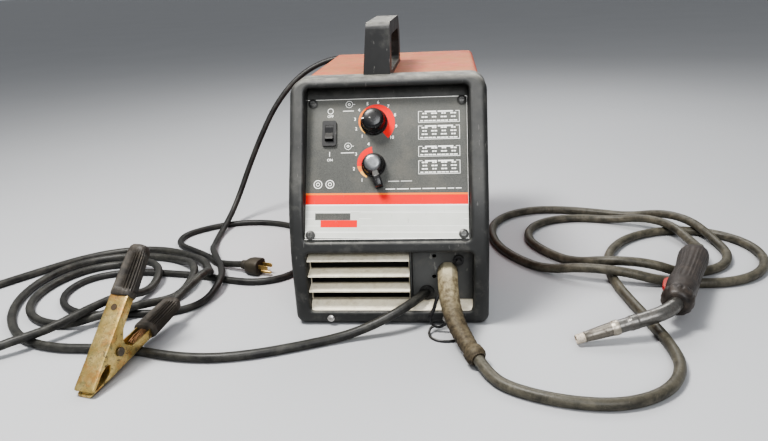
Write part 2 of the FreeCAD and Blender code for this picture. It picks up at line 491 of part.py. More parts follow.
ia = ia.cut(box(WX - 7.0, WX + 20, -110, -83, 60, 99.5).cut(cyl((WX - 7.1, IY, IZ), (1, 0, 0), 3.0, 15.0)))
node("idle_arm", solid(ia.removeSplitter()))
node("idle_roll", solid(tube_ring((WX - 5.0, IY, IZ), (1, 0, 0), 11.6, 3.06, 10)))
tk = cyl((WX + 1, -96, 99.8), (0, 0, 1), 3.0, 14).fuse(cyl((WX + 1, -96, 110.2), (0, 0, 1), 9.0, 18)).fuse(cone((WX + 1, -96, 128.1), (0, 0, 1), 9.0, 6.0, 4))
for k in range(8):
    a = math.radians(45 * k)
    tk = tk.cut(cyl((WX + 1 + 10.4 * math.cos(a), -96 + 10.4 * math.sin(a), 113), (0, 0, 1), 2.6, 20))
node("tension_knob", solid(tk.removeSplitter()))

SX0, SX1, SY, SZ, SR = 20.0, 74.0, 95.0, 150.0, 100.0
sp = tube_ring((SX0, SY, SZ), (1, 0, 0), 33, 25.9, SX1 - SX0)
for x in (SX0, SX1 - 3):
    fl = tube_ring((x, SY, SZ), (1, 0, 0), SR, 25.9, 3)
    for k in range(6):
        a = math.radians(60 * k + 15)
        fl = fl.cut(cyl((x - 1, SY + 78 * math.cos(a), SZ + 78 * math.sin(a)), (1, 0, 0), 9, 5))
    sp = sp.fuse(fl)
node("wire_spool", solid(sp.removeSplitter()))
node("wire_coil", tube_ring((SX0 + 3.05, SY, SZ), (1, 0, 0), 84, 33.0, SX1 - SX0 - 6.1))
sd = tube_ring((PX + SHEET, SY, SZ), (1, 0, 0), 40, 9, 4).fuse(tube_ring((PX + SHEET, SY, SZ), (1, 0, 0), 16, 9, SX0 - PX))
sd = sd.fuse(cyl((SX0 - 3, SY, SZ), (1, 0, 0), 25.4, SX1 - SX0 + 6)).fuse(cyl((SX1 + 2.9, SY, SZ), (1, 0, 0), 30, 8)).fuse(box(SX1 + 10, SX1 + 20, SY - 5, SY + 5, SZ - 26, SZ + 26)).removeSplitter()
node("spool_spindle", solid(sd))

# ---------------------------------------------------------------- cables
GUN_ROUTE = [(106.4, -311.6, 13.6), (118, -339, 8.4), (143, -362, 6.8), (194.9, -382.4, 6.8), (250.1, -385.7, 6.8), (299.5, -361.1, 6.8), (328, -314, 6.8), (328.7, -258.5, 6.8), (320.2, -203.3, 6.8), (311, -148.2, 6.8), (304.2, -92.7, 6.8), (305.5, -37, 6.8), (319.5, 16.9, 6.8), (348.1, 64.5, 6.8), (391.9, 98.6, 6.8), (445.4, 113, 6.8), (498.7, 99, 6.8), (534.3, 57.4, 6.8), (541.1, 2.6, 6.8), (522, -49.5, 6.8), (481.2, -86.6, 6.8), (427.2, -98.7, 6.8), (371.8, -92.1, 6.8), (316.3, -88.8, 21.8), (262.6, -73.2, 21.8), (213.9, -46.6, 6.8), (177.1, -4.8, 6.8), (153.2, 45.5, 6.8), (145.1, 100.5, 6.8), (151.7, 155.8, 6.8), (181.7, 202.3, 6.8), (230.7, 227.1, 6.8), (286.1, 223.6, 6.8), (338.9, 205.7, 6.8), (390.6, 184.6, 6.8), (435.7, 152, 23.6), (471.4, 109.1, 23.6), (493.2, 58, 6.8), (492.5, 2.6, 6.8), (465.3, -45.3, 6.8), (406.5, -67.5, 6.8), (358.8, -63.3, 23.2), (304.4, -51.9, 23.2), (258.3, -20.9, 6.8), (223.2, 22.3, 6.8), (202.6, 73.8, 6.8), (210.2, 128.4, 6.8), (247.4, 168.7, 6.8), (301.2, 179.9, 6.8), (355, 166.2, 6.8), (402.3, 136.7, 21.3), (438, 94, 21.3), (452, 18, 12), (440, -22, 29), (420, -60, 35)]
WORK_ROUTE = [(52.5, -176.5, 39.5), (31, -209.5, 35.5), (3, -229, 25.5), (-28, -239, 13.5), (-62, -250, 5.8), (-109.4, -271.5, 5.8), (-157.9, -290.4, 5.8), (-208.9, -300.8, 5.8), (-260.4, -296, 5.8), (-310.6, -282.2, 5.8), (-362.4, -278.9, 5.8), (-414.5, -278.9, 5.8), (-463.4, -262.5, 5.8), (-502.9, -228.8, 5.8), (-532.1, -185.8, 5.8), (-549, -136.7, 5.8), (-552.6, -84.9, 5.8), (-540, -34.7, 5.8), (-506.3, 4.1, 5.8), (-457.1, 19.6, 5.8), (-405.2, 17.9, 5.8), (-356.6, 0.4, 5.8), (-321, -37.1, 16.7), (-303.6, -85.9, 16.7), (-310.1, -136.9, 5.8), (-340.1, -179, 17.1), (-383.2, -208, 17.1), (-433, -222.1, 5.8), (-482.1, -207.6, 5.8), (-517.4, -170, 5.8), (-530.4, -120.1, 5.8), (-520.9, -69.2, 5.8), (-491.5, -26.9, 5.8), (-442.8, -11.8, 5.8), (-393.5, -27.2, 16.6), (-361.7, -67.2, 16.6), (-360.3, -118.8, 5.8), (-377.7, -167.7, 25.5), (-403.4, -213, 25.5), (-434.8, -254.5, 18.1), (-472.1, -290.8, 18.1), (-517.2, -316.5, 5.8), (-568, -323.3, 5.8), (-615.2, -302.3, 5.8), (-647.8, -262.2, 5.8), (-656.5, -211.4, 5.8), (-648.7, -160, 5.8), (-627.4, -112.7, 5.8), (-596.7, -70.7, 5.8), (-564.5, -29.8, 5.8), (-530.5, 9.5, 5.8), (-487.3, 38.2, 5.8), (-436.8, 49, 5.8), (-385.6, 40.8, 5.8), (-341.5, 13.7, 5.8), (-307.6, -25.7, 15.4), (-284, -72, 15.4), (-268.5, -112, 38.3), (-273.2, -152.8, 42.8), (-287.1, -210.5, 33.9)]
POWER_ROUTE = [(-85, 238, 281), (-86, 273, 284), (-110, 299, 287), (-155, 299, 281), (-203, 284, 256), (-244, 264, 210), (-274, 246, 154), (-299, 229, 98), (-315, 211, 55), (-325, 186, 27), (-330, 152, 12), (-331, 112, 5), (-324, 65.9, 5), (-311.2, 21.1, 17.1), (-289.9, -20.3, 17.1), (-268.1, -61.5, 15.8), (-257.8, -106.7, 15.8), (-266.1, -152.3, 5), (-301.2, -181, 5), (-347.6, -184.3, 5), (-393.9, -189.8, 5), (-439.7, -182.8, 5), (-476, -154.4, 5), (-491.7, -111, 5), (-479.1, -67.2, 5), (-438.4, -45.9, 5), (-391.9, -45, 5), (-345.7, -51.2, 5), (-299.8, -59.7, 5), (-256.1, -75.9, 5), (-210.7, -85.5, 5), (-169.3, -67, 5), (-149.8, -25.1, 5), (-145.9, 21.3, 5), (-149.7, 67.7, 5), (-164.4, 111.9, 5), (-193.7, 147.8, 5), (-233, 172.6, 5), (-278.4, 182.5, 5), (-324.3, 176.3, 5), (-364.7, 153.3, 5), (-395.8, 119.1, 5), (-391.9, 74.7, 5), (-355.2, 46.2, 5), (-318, 18, 5), (-287.8, -19.9, 6.5), (-246, -33.5, 12.5)]
gun_tube = cord_tube("gun_cable", GUN_ROUTE, D_GUN)
work_tube = cord_tube("work_cable", WORK_ROUTE, D_WORK)
power_tube = cord_tube("power_cord", POWER_ROUTE, D_POWER)

# strain relief of the power cord
sr = cone((-85, 238, 281), (0, -1, 0), 6.2, 8.0, 30.3).fuse(cyl((-85, Y_REAR - 1.5, 281), (0, 1, 0), 11, 3.0)).fuse(cyl((-85, Y_REAR - 1.5, 281), (0, -1, 0), 7.4, 12)).removeSplitter()
node("cord_strain_relief", solid(sr.cut(power_tube)))
# grommet of the work cable, bored along the cable's own slant
wo = norm((31 - 52.5, -209.5 + 176.5, 35.5 - 39.5))
gm = cyl((WORK_OUT[0], CABLE_PANEL_Y - 2.6, WORK_OUT[1]), (0, 1, 0), 9.6, 2.5).fuse(cyl((WORK_OUT[0], CABLE_PANEL_Y - 0.2, WORK_OUT[1]), (0, 1, 0), 8.1, 2.4)).fuse(cyl((WORK_OUT[0], CABLE_PANEL_Y + 2.1, WORK_OUT[1]), (0, 1, 0), 8.9, 2.0))
gm = gm.cut(Part.makeCylinder(D_WORK / 2 + 0.02, 60, V(52.5, -176.5, 39.5) - V(*wo) * 10, V(*wo))).removeSplitter()
node("work_cable_grommet", solid(gm))

# long rubber boot of the gun cable with its collar
bp = [V(72.5, -178.2, 67), V(72.5, -217, 67), V(77, -246, 38), V(91.8, -277.1, 20.1), V(106.4, -311.6, 13.6)]
e, cur = [], bp[0]
for i in range(1, 4):
    ua, ub = (bp[i] - bp[i - 1]).normalize(), (bp[i + 1] - bp[i]).normalize()
    th = math.acos(ua.dot(ub))
    t = 0.45 * min((bp[i] - bp[i - 1]).Length, (bp[i + 1] - bp[i]).Length)
    r = t / math.tan(th / 2)
    p, q = bp[i] - ua * t, bp[i] + ub * t
    n = (ub - ua * math.cos(th)).normalize()
    c = p + n * r
    md = (p - c) + (q - c)
    e += [Part.LineSegment(cur, p).toShape(), Part.Arc(p, c + md * (r / md.Length), q).toShape()]
    cur = q
    print("boot radius", round(r))
bend = norm(tuple(bp[4] - bp[3]))
e.append(Part.LineSegment(cur, bp[4]).toShape())
boot = Part.Wire(e).makePipeShell([Part.Wire([Part.makeCircle(12.4, bp[0], bp[1] - bp[0])])], True, False)
boot = boot.Solids[0] if boot.Solids else boot
boot = boot.fuse(cyl(tuple(bp[4] - V(*bend) * 15), bend, 13.2, 15.0)).removeSplitter()
node("gun_boot", solid(boot.cut(gun_tube)))

# ---------------------------------------------------------------- welding gun (lies on its side)
GF, GR = (355.0, -199.0, 36.0), (420.0, -60.0, 36.0)
h1 = norm((GR[0] - GF[0], GR[1] - GF[1], 0))
h2 = cross((0, 0, 1), h1)          # towards the trigger side
GL = math.dist(GF, GR)
def on_gun(s):
    return frame(s, GF, h1, h2, (0, 0, 1))
# handle outline in the gun's own plane: x from front to rear, y towards the trigger
ho = [(0, -17.0), (0, 17.0), (15, 19.2), (36, 19.8), (63, 17.6), (100, 19.2), (132, 21.4), (146, 19.8), (GL, 12), (GL, -12), (144, -20.3), (116, -20.9), (74, -18.7), (32, -18.7)]
hb = prism_xy(ho, -17.0, 17.0)
hb = fil(hb, [q for q in hb.Edges if abs(abs(q.BoundBox.ZMin) - 17.0) < 0.01 and q.BoundBox.ZLength < 0.01], 6.5)
cavg = cyl((-1, 0, 0), (1, 0, 0), 10.2, 18).fuse(box(15.9, GL - 14, -11, 9.4, -7.7, 7.7))
cavg = cavg.fuse(box(7, 55, 6, 32, -4.6, 4.6))
hb = hb.cut(cavg)
up = hb.common(box(-5, GL + 5, -30, 30, 0.05, 30))
dn = hb.common(box(-5, GL + 5, -30, 30, -30, -0.05))
node("gun_handle_left", solid(on_gun(up).cut(gun_tube)))
node("gun_handle_right", solid(on_gun(dn).cut(gun_tube)))
tr = prism_xy([(10, 15.4), (10, 21.6), (22, 27.1), (40, 27.9), (51, 23.3), (52.5, 18.7), (50, 13.2), (46, 10.1), (14, 11.2)], -4.2, 4.2)
tr = tr.fuse(cyl((13, 15.4, -4.2), (0, 0, 1), 3.0, 8.4)).removeSplitter()
node("gun_trigger", solid(on_gun(tr)))
nk = cyl((-13, 0, 0), (1, 0, 0), 19.6, 12.8)
nk = nk.fuse(cone((-22, 0, 0), (1, 0, 0), 15.2, 18.6, 9.1)).cut(cyl((-30, 0, 0), (1, 0, 0), 10.0, 40)).removeSplitter()
node("gun_neck_nut", solid(on_gun(nk)))
# gooseneck: straight from the handle, one bend, straight to the nozzle
N0 = V(*GF) + V(*h1) * 15.0
N1 = V(*GF) - V(*h1) * 40.0
N2 = V(223, -256, 8.0)
ndir = (N2 - N1).normalize()
N3 = N2 - ndir * 52.0
ua, ub = V(*h1) * -1, ndir
th = math.acos(ua.dot(ub))
t = 26.0
r = t / math.tan(th / 2)
p, q = N1 - ua * t, N1 + ub * t
n = (ub - ua * math.cos(th)).normalize()
c = p + n * r
md = (p - c) + (q - c)
gw = Part.Wire([Part.LineSegment(N0, p).toShape(), Part.Arc(p, c + md * (r / md.Length), q).toShape(), Part.LineSegment(q, N3).toShape()])
gn = gw.makePipeShell([Part.Wire([Part.makeCircle(9.2, N0, ua)])], True, False)
gn = gn.Solids[0] if gn.Solids else gn
node("gooseneck", solid(gn))
nd = tuple(ndir)
nz = cone(tuple(N3), nd, 8.6, 6.2, 40).fuse(cyl(tuple(N3), nd, 9.0, 6)).fuse(cyl(tuple(N3 + ndir * 39.9), nd, 6.5, 12.1))
nz = nz.cut(cyl(tuple(N3 - ndir * 0.5), nd, 4.6, 60)).removeSplitter()
node("nozzle", solid(nz))
node("contact_tip", solid(cyl(tuple(N3), nd, 4.4, 30).fuse(cone(tuple(N3 + ndir * 29.9), nd, 4.4, 2.4, 17)).removeSplitter()))

# ---------------------------------------------------------------- work clamp
T0 = (-326.5, -374.8, 0.6)
ca_ = norm((0.2309, 0.9617, 0.1478))
cc_ = norm((ca_[1], -ca_[0], 0))
cb_ = cross(cc_, ca_)
SPREAD = math.radians(36.0)
PV = (54.0, 23.0)        # pivot in the lower arm's plane (along, up)
def on_low(s):
    return frame(s, T0, cc_, ca_, cb_)
ua_ = tuple(ca_[i] * math.cos(SPREAD) + cb_[i] * math.sin(SPREAD) for i in range(3))
ub_ = tuple(ca_[i] * math.sin(SPREAD) - cb_[i] * math.cos(SPREAD) for i in range(3))
T1 = tuple(T0[i] + 8.0 * cb_[i] for i in range(3))
def on_up(s):
    return frame(s, T1, tuple(-v for v in cc_), ua_, ub_)
PU = (PV[0] * math.cos(SPREAD) + (PV[1] - 8.0) * math.sin(SPREAD), PV[0] * math.sin(SPREAD) - (PV[1] - 8.0) * math.cos(SPREAD))
pv3 = tuple(T0[i] + PV[0] * ca_[i] + PV[1] * cb_[i] for i in range(3))
print("clamp pivot", [round(v, 2) for v in pv3], "axis", [round(v, 4) for v in cc_])

def arm(wt, w, th, pv, length, ear):
    web = prism_xy([(-wt, 0), (wt, 0), (w, 34), (w, length), (-w, length), (-w, 34)], 0, th)
    jaw = box(-wt + 1, wt - 1, 0, 9, th - 0.1, 3.4)
    for k in range(3):
        jaw = jaw.cut(box(-30, 30, 1.5 + 2.6 * k, 2.6 + 2.6 * k, 2.7, 5))
    px, pz = pv
    fl = [(30, 0.5), (30, 6.5), (px - 19, 9), (px - 13, pz + 1), (px - 8, pz + 8), (px, pz + 10), (px + 8, pz + 8), (px + 13, pz), (px + 24, 12.5), (length, 11), (length, 0.5)]
    s = web.fuse(jaw)
    for x0 in (-w, w - th):
        s = s.fuse(prism_yz(fl, x0, x0 + th))
    return s

low = arm(9.4, 10.4, 1.8, PV, 150, True).cut(cyl((-30, PV[0], PV[1]), (1, 0, 0), 3.06, 60)).removeSplitter()
node("clamp_lower_arm", solid(on_low(low)))
upa = arm(13.2, 12.8, 1.9, PU, 140, True).cut(cyl((-30, PU[0], PU[1]), (1, 0, 0), 3.06, 60))
upa = upa.cut(cyl((0, 98, -1), (0, 0, 1), 3.4, 5)).removeSplitter()
node("clamp_upper_arm", solid(on_up(upa)))

def grip(w0, w1, z0, z1, y0, y1, iw, iz, yc):
    g = prism_xy([(-w0, y0), (w0, y0), (w1, y1), (-w1, y1)], z0, z1)
    g = fil(g, [q for q in g.Edges if q.BoundBox.YLength > 20], 6.0)
    return g.cut(box(-iw, iw, y0 - 1, yc, -0.02, iz))
node("clamp_lower_grip", solid(on_low(grip(15.0, 12.4, -3.2, 16.5, 112, 178, 10.45, 13.3, 150.1)).cut(work_tube)))
node("clamp_upper_grip", solid(on_up(grip(15.2, 12.2, -3.2, 17.5, 113, 179, 12.85, 12.9, 140.1))))
pn = cyl((-14.2, PV[0], PV[1]), (1, 0, 0), 3.0, 28.4).fuse(cyl((-15.8, PV[0], PV[1]), (1, 0, 0), 5.2, 1.9)).fuse(cyl((13.9, PV[0], PV[1]), (1, 0, 0), 5.2, 1.9)).removeSplitter()
pn_ = on_low(pn)
node("clamp_pivot_pin", solid(pn_))
spr = None
for k in range(5):
    x = -8.0 + 3.2 * k
    t_ = tube_ring((x, PV[0], PV[1]), (1, 0, 0), 7.2, 4.4, 3.0)
    spr = t_ if spr is None else spr.fuse(t_)
for k in range(4):
    spr = spr.fuse(tube_ring((-5.2 + 3.2 * k, PV[0], PV[1]), (1, 0, 0), 6.4, 4.6, 0.6))
spr = spr.fuse(prism_yz([(PV[0] - 1, PV[1] - 6.6), (PV[0] + 30, 1.85), (PV[0] + 33, 1.85), (PV[0] + 33, 4.0), (PV[0] + 2, PV[1] - 4.8)], 4.8, 7.6)).removeSplitter()
node("clamp_spring", solid(on_low(spr)))

# ---------------------------------------------------------------- plug
pd = norm((0.95, -0.31, 0))
pl = V(-246, -33.5, 12.5)
ps = norm(cross((0, 0, 1), pd))
def on_plug(s):
    return frame(s, tuple(pl), pd, ps, (0, 0, 1))
pb = prism_xy([(0, -7.5), (0, 7.5), (12, 13), (30, 14), (34, 14), (34, -14), (30, -14), (12, -13)], -12.3, 12.3)
pb = fil(pb, [q for q in pb.Edges if q.BoundBox.ZLength < 0.01 and q.BoundBox.XMax < 33], 4.0)
node("plug_body", solid(on_plug(pb).cut(power_tube)))
bl = [box(34, 50.5, -7.1, -5.6, -1.0, 5.4), box(34, 50.5, 5.6, 7.1, -1.0, 5.4), cyl((34, 0, -7.0), (1, 0, 0), 2.4, 18.5)]
node("plug_blades", Part.makeCompound([on_plug(b) for b in bl]))

# ---------------------------------------------------------------- write
for n, s in nodes.items():
    ok = all(q.isValid() for q in s.Solids) and len(s.Solids) > 0
    if not ok or (len(s.Solids) > 1 and n not in ("nameplate_screws", "case_screws", "rubber_feet", "plug_blades")):
        print("CHECK", n, "solids", len(s.Solids), "valid", s.isValid())
    s.exportStep("parts/%s.step" % n)
print(len(nodes), "nodes")
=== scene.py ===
import bpy, bmesh, math
from mathutils import Vector, Matrix


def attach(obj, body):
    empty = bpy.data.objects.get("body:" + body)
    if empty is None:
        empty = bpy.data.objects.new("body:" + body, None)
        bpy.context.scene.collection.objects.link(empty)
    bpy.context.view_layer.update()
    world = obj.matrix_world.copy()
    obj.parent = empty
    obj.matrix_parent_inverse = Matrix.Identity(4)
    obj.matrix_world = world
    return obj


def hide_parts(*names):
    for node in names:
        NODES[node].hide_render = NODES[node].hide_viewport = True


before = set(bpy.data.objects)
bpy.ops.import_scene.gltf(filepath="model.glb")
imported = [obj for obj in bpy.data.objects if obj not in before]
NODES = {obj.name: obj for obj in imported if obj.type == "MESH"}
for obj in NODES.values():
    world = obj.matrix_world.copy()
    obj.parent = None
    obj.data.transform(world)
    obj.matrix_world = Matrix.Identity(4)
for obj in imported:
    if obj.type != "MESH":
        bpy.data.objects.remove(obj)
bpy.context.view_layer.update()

# ------------------------------------------------------------------ frames shared with the CAD (metres)
TILT = math.radians(28.8)
SA, CA = math.sin(TILT), math.cos(TILT)
def panel(x, y, z=0.0):
    """Control panel frame in mm -> row frame in metres."""
    return Vector((x, -206 + y * SA - z * CA, 116 + y * CA + z * SA)) / 1000

def frame_fn(o, ex, ey, ez):
    o, ex, ey, ez = Vector(o), Vector(ex), Vector(ey), Vector(ez)
    return lambda x, y, z=0.0: (o + ex * x + ey * y + ez * z) / 1000

GF, GR = Vector((355.0, -199.0, 36.0)), Vector((420.0, -60.0, 36.0))
G1 = (GR - GF).normalized()
G2 = Vector((0, 0, 1)).cross(G1)
GL = (GR - GF).length
gun = frame_fn(GF, G1, G2, (0, 0, 1))
CAv = Vector((0.2309, 0.9617, 0.1478)).normalized()
CC = Vector((CAv.y, -CAv.x, 0)).normalized()
CB = CC.cross(CAv)
T0 = Vector((-326.5, -374.8, 0.6))
low = frame_fn(T0, CC, CAv, CB)
SPREAD = math.radians(36.0)
UA = CAv * math.cos(SPREAD) + CB * math.sin(SPREAD)
UB = CAv * math.sin(SPREAD) - CB * math.cos(SPREAD)
T1 = T0 + CB * 8.0
upp = frame_fn(T1, -CC, UA, UB)
PV = (54.0, 23.0)

# ------------------------------------------------------------------ material kit
class Mat:
    def __init__(self, name):
        self.m = bpy.data.materials.new(name)
        self.m.use_nodes = True
        self.t = self.m.node_tree
        self.t.nodes.clear()
        self.out = self.n("ShaderNodeOutputMaterial")
        self.b = self.n("ShaderNodeBsdfPrincipled")
        self.t.links.new(self.b.outputs[0], self.out.inputs[0])
        self.co = self.n("ShaderNodeTexCoord").outputs["Object"]
        self.geo = self.n("ShaderNodeNewGeometry")
    def n(self, kind):
        return self.t.nodes.new(kind)
    def link(self, a, b):
        self.t.links.new(a, b)
    def put(self, sock, v):
        if hasattr(v, "links"):
            self.link(v, sock)
        else:
            if sock.type == "RGBA" and len(v) == 3:
                v = (*v, 1)
            sock.default_value = v
    def scale(self, v, s):
        k = self.n("ShaderNodeMapping")
        self.link(v, k.inputs["Vector"])
        k.inputs["Scale"].default_value = s
        return k.outputs[0]
    def noise(self, scale, detail=3.0, rough=0.5, vec=None, dist=0.0, out=0):
        k = self.n("ShaderNodeTexNoise")
        self.link(vec or self.co, k.inputs["Vector"])
        k.inputs["Scale"].default_value = scale
        k.inputs["Detail"].default_value = detail
        k.inputs["Roughness"].default_value = rough
        k.inputs["Distortion"].default_value = dist
        return k.outputs[out]
    def voro(self, scale, feature="F1", vec=None, out=0):
        k = self.n("ShaderNodeTexVoronoi")
        k.feature = feature
        self.link(vec or self.co, k.inputs["Vector"])
        k.inputs["Scale"].default_value = scale
        return k.outputs[out]
    def ramp(self, fac, stops, interp="LINEAR"):
        k = self.n("ShaderNodeValToRGB")
        k.color_ramp.interpolation = interp
        e = k.color_ramp.elements
        while len(e) < len(stops):
            e.new(0.5)
        for q, (p, c) in zip(e, stops):
            q.position = p
            q.color = (c, c, c, 1) if isinstance(c, (int, float)) else (*c, 1)
        self.link(fac, k.inputs[0])
        return k.outputs[0]
    def mix(self, fac, a, b, mode="MIX"):
        k = self.n("ShaderNodeMix")
        k.data_type = "RGBA"
        k.blend_type = mode
        self.put(k.inputs[0], fac)
        self.put(k.inputs[6], a)
        self.put(k.inputs[7], b)
        return k.outputs[2]
    def math(self, op, a, b=0.0, clamp=False):
        k = self.n("ShaderNodeMath")
        k.operation = op
        k.use_clamp = clamp
        self.put(k.inputs[0], a)
        if op not in ("ABSOLUTE", "SQRT"):
            self.put(k.inputs[1], b)
        return k.outputs[0]
    def sep(self, v):
        k = self.n("ShaderNodeSeparateXYZ")
        self.link(v, k.inputs[0])
        return k.outputs
    def up(self, lo=0.3, hi=0.95):
        """Mask of faces that look upwards."""
        return self.ramp(self.sep(self.geo.outputs["Normal"])[2], [(lo, 0.0), (hi, 1.0)])
    def edge(self, lo=0.52, hi=0.60):
        return self.ramp(self.geo.outputs["Pointiness"], [(lo, 0.0), (hi, 1.0)])
    def bump(self, h, strength=0.3, dist=0.001, prev=None):
        k = self.n("ShaderNodeBump")
        k.inputs["Strength"].default_value = strength
        k.inputs["Distance"].default_value = dist
        self.link(h, k.inputs["Height"])
        if prev:
            self.link(prev, k.inputs["Normal"])
        return k.outputs[0]
    def set(self, color=None, rough=None, metal=None, normal=None, **kw):
        if color is not None:
            self.put(self.b.inputs["Base Color"], color)
        if rough is not None:
            self.put(self.b.inputs["Roughness"], rough)
        if metal is not None:
            self.put(self.b.inputs["Metallic"], metal)
        if normal is not None:
            self.link(normal, self.b.inputs["Normal"])
        for k, v in kw.items():
            self.b.inputs[k.replace("_", " ")].default_value = v
        return self.m

DUST = (0.34, 0.29, 0.215)
DUST_GREY = (0.30, 0.285, 0.25)

def plastic(name, base, rough=0.5, grain=1500, grain_s=0.25, dust_and_highlight=0.5, dust_and_highlight_col=DUST_GREY, var=0.35, scratch=0.35, spec=0.5):
    m = Mat(name)
    big = m.noise(14, 5, 0.6)
    col = m.mix(m.ramp(big, [(0.3, 0.0), (0.75, 1.0)]), base, tuple(c * (1 + var) + 0.004 for c in base))
    # dust and painted highlight: upward faces, plus random patches, are lightened towards the dust colour; on the tops
    # this partly stands in for light falling on them
    dm = m.math("MULTIPLY", m.up(0.35, 1.0), m.ramp(m.noise(60, 8, 0.65), [(0.32, 0.15), (0.62, 1.0)]))
    sm = m.math("MULTIPLY", m.ramp(m.noise(34, 9, 0.7), [(0.52, 0.0), (0.72, 1.0)]), 0.30)
    dm = m.math("MAXIMUM", dm, sm)
    col = m.mix(m.math("MULTIPLY", dm, dust_and_highlight), col, dust_and_highlight_col)
    sc = m.noise(1.0, 2, 0.5, vec=m.scale(m.co, (260, 35, 90)))
    sc = m.math("MULTIPLY", m.ramp(sc, [(0.700, 0.0), (0.712, 1.0)]), scratch)
    col = m.mix(sc, col, (0.32, 0.31, 0.29))
    r = m.math("ADD", m.math("MULTIPLY", m.ramp(m.noise(45, 5, 0.6), [(0.3, 0.0), (0.7, 1.0)]), 0.14), rough - 0.05)
    r = m.math("ADD", r, m.math("MULTIPLY", dm, 0.25), clamp=True)
    nb = m.bump(m.noise(grain, 2, 0.5), grain_s, 0.0004)
    return m.set(col, r, 0.0, nb, Specular_IOR_Level=spec)

def rubber(name, base, dirt, rough=0.6, dirt_amt=0.55, scale=90, spec=0.4, fine=1200, speck=0.3):
    m = Mat(name)
    col = m.mix(m.ramp(m.noise(scale, 8, 0.68), [(0.36, 0.0), (0.66, 1.0)]), base, tuple(c * 1.55 + 0.004 for c in base))
    dm = m.math("MULTIPLY", m.ramp(m.noise(38, 9, 0.72, dist=0.6), [(0.40, 0.0), (0.68, 1.0)]), dirt_amt)
    um = m.math("MULTIPLY", m.up(0.25, 1.0), dirt_amt * 0.55)
    dm = m.math("MAXIMUM", dm, m.math("MULTIPLY", um, m.ramp(m.noise(210, 6, 0.7), [(0.3, 0.3), (0.6, 1.0)])))
    col = m.mix(dm, col, dirt)
    sp = m.math("MULTIPLY", m.ramp(m.noise(700, 3, 0.6), [(0.66, 0.0), (0.72, 1.0)]), speck)
    col = m.mix(sp, col, tuple(min(1, c * 1.8 + 0.03) for c in dirt))
    r = m.math("ADD", m.math("MULTIPLY", dm, 0.3), rough, clamp=True)
    nb = m.bump(m.noise(fine, 4, 0.6), 0.25, 0.0005, m.bump(m.noise(120, 4, 0.6), 0.25, 0.0015))
    return m.set(col, r, 0.0, nb, Specular_IOR_Level=spec)

def metal(name, base, rough=0.35, dark=(0.10, 0.07, 0.045), wear=0.5, scale=120, brush=None, mval=1.0, dust_and_highlight=0.0):
    m = Mat(name)
    col = m.mix(m.ramp(m.noise(scale, 7, 0.65), [(0.35, 0.0), (0.7, 1.0)]), base, tuple(min(1, c * 1.25) for c in base))
    wm = m.math("MULTIPLY", m.ramp(m.noise(scale * 0.7, 10, 0.72, dist=0.8), [(0.50, 0.0), (0.66, 1.0)]), wear)
    col = m.mix(wm, col, dark)
    r = m.math("ADD", m.math("MULTIPLY", m.noise(scale * 3, 5, 0.6), 0.22), m.math("ADD", m.math("MULTIPLY", wm, 0.3), rough - 0.08), clamp=True)
    if dust_and_highlight:
        dm = m.math("MULTIPLY", m.up(0.2, 1.0), m.math("MULTIPLY", m.ramp(m.noise(150, 8, 0.7), [(0.3, 0.1), (0.62, 1.0)]), dust_and_highlight))
        col = m.mix(dm, col, DUST)
    h = m.noise(1.0, 3, 0.5, vec=m.scale(m.co, brush)) if brush else m.noise(scale * 8, 3, 0.6)
    nb = m.bump(h, 0.18, 0.0004)
    mm = m.ramp(wm, [(0.0, mval), (0.6, mval * 0.55)])
    return m.set(col, r, mm, nb)

MT = {}
# the moulded black parts get strong upward lightening: dust plus a painted highlight on their tops
MT["black"] = plastic("moulded_black", (0.026, 0.0265, 0.0255), 0.44, 1700, 0.35, 0.72, (0.33, 0.32, 0.28), 0.5, 0.22, 0.6)
MT["handle"] = plastic("handle_black", (0.028, 0.028, 0.0275), 0.38, 1400, 0.20, 0.62, (0.33, 0.32, 0.28), 0.5, 0.4, 0.6)
MT["housing"] = plastic("housing_black", (0.020, 0.020, 0.021), 0.5, 1500, 0.2, 0.3)
MT["rocker"] = plastic("rocker_satin", (0.012, 0.012, 0.013), 0.42, 900, 0.05, 0.2, DUST_GREY, 0.4, 0.2, 0.35)
MT["gloss"] = plastic("control_gloss", (0.008, 0.008, 0.009), 0.22, 900, 0.05, 0.25, DUST_GREY, 0.6, 0.25, 0.6)
m = Mat("louvre_cream")
lc = m.mix(m.ramp(m.noise(40, 7, 0.65), [(0.35, 0.0), (0.7, 1.0)]), (0.84, 0.775, 0.62), (0.94, 0.89, 0.75))
lc = m.mix(m.math("MULTIPLY", m.ramp(m.noise(110, 9, 0.72), [(0.48, 0.0), (0.68, 1.0)]), 0.42), lc, (0.50, 0.42, 0.29))
# painted shade: the rear edge of every slat (object y past -189.5 mm) is turned near-black to stand in for the shade in
# the gaps between slats
painted_gap_shade = m.ramp(m.math("ADD", m.sep(m.co)[1], 0.25), [(0.0605, 0.0), (0.0630, 1.0)])
lc = m.mix(painted_gap_shade, lc, (0.012, 0.011, 0.010))
MT["cream"] = m.set(lc, 0.62, 0.0, m.bump(m.noise(900, 3, 0.6), 0.25, 0.0004), Specular_IOR_Level=0.3)
MT["panel_dark"] = plastic("cable_panel_dark", (0.075, 0.076, 0.073), 0.5, 1600, 0.30, 0.6, DUST, 0.5, 0.4)
MT["white_pl"] = plastic("white_plastic", (0.62, 0.61, 0.57), 0.45, 900, 0.1, 0.4, DUST, 0.1, 0.1)
MT["board"] = plastic("board_green", (0.02, 0.10, 0.04), 0.4, 700, 0.2, 0.3, DUST, 0.3, 0.1)
MT["can"] = plastic("can_blue", (0.02, 0.035, 0.09), 0.35, 700, 0.1, 0.3, DUST, 0.3, 0.2)
MT["print_white"] = plastic("print_white", (0.86, 0.86, 0.82), 0.5, 900, 0.05, 0.15, DUST, 0.05, 0.0)
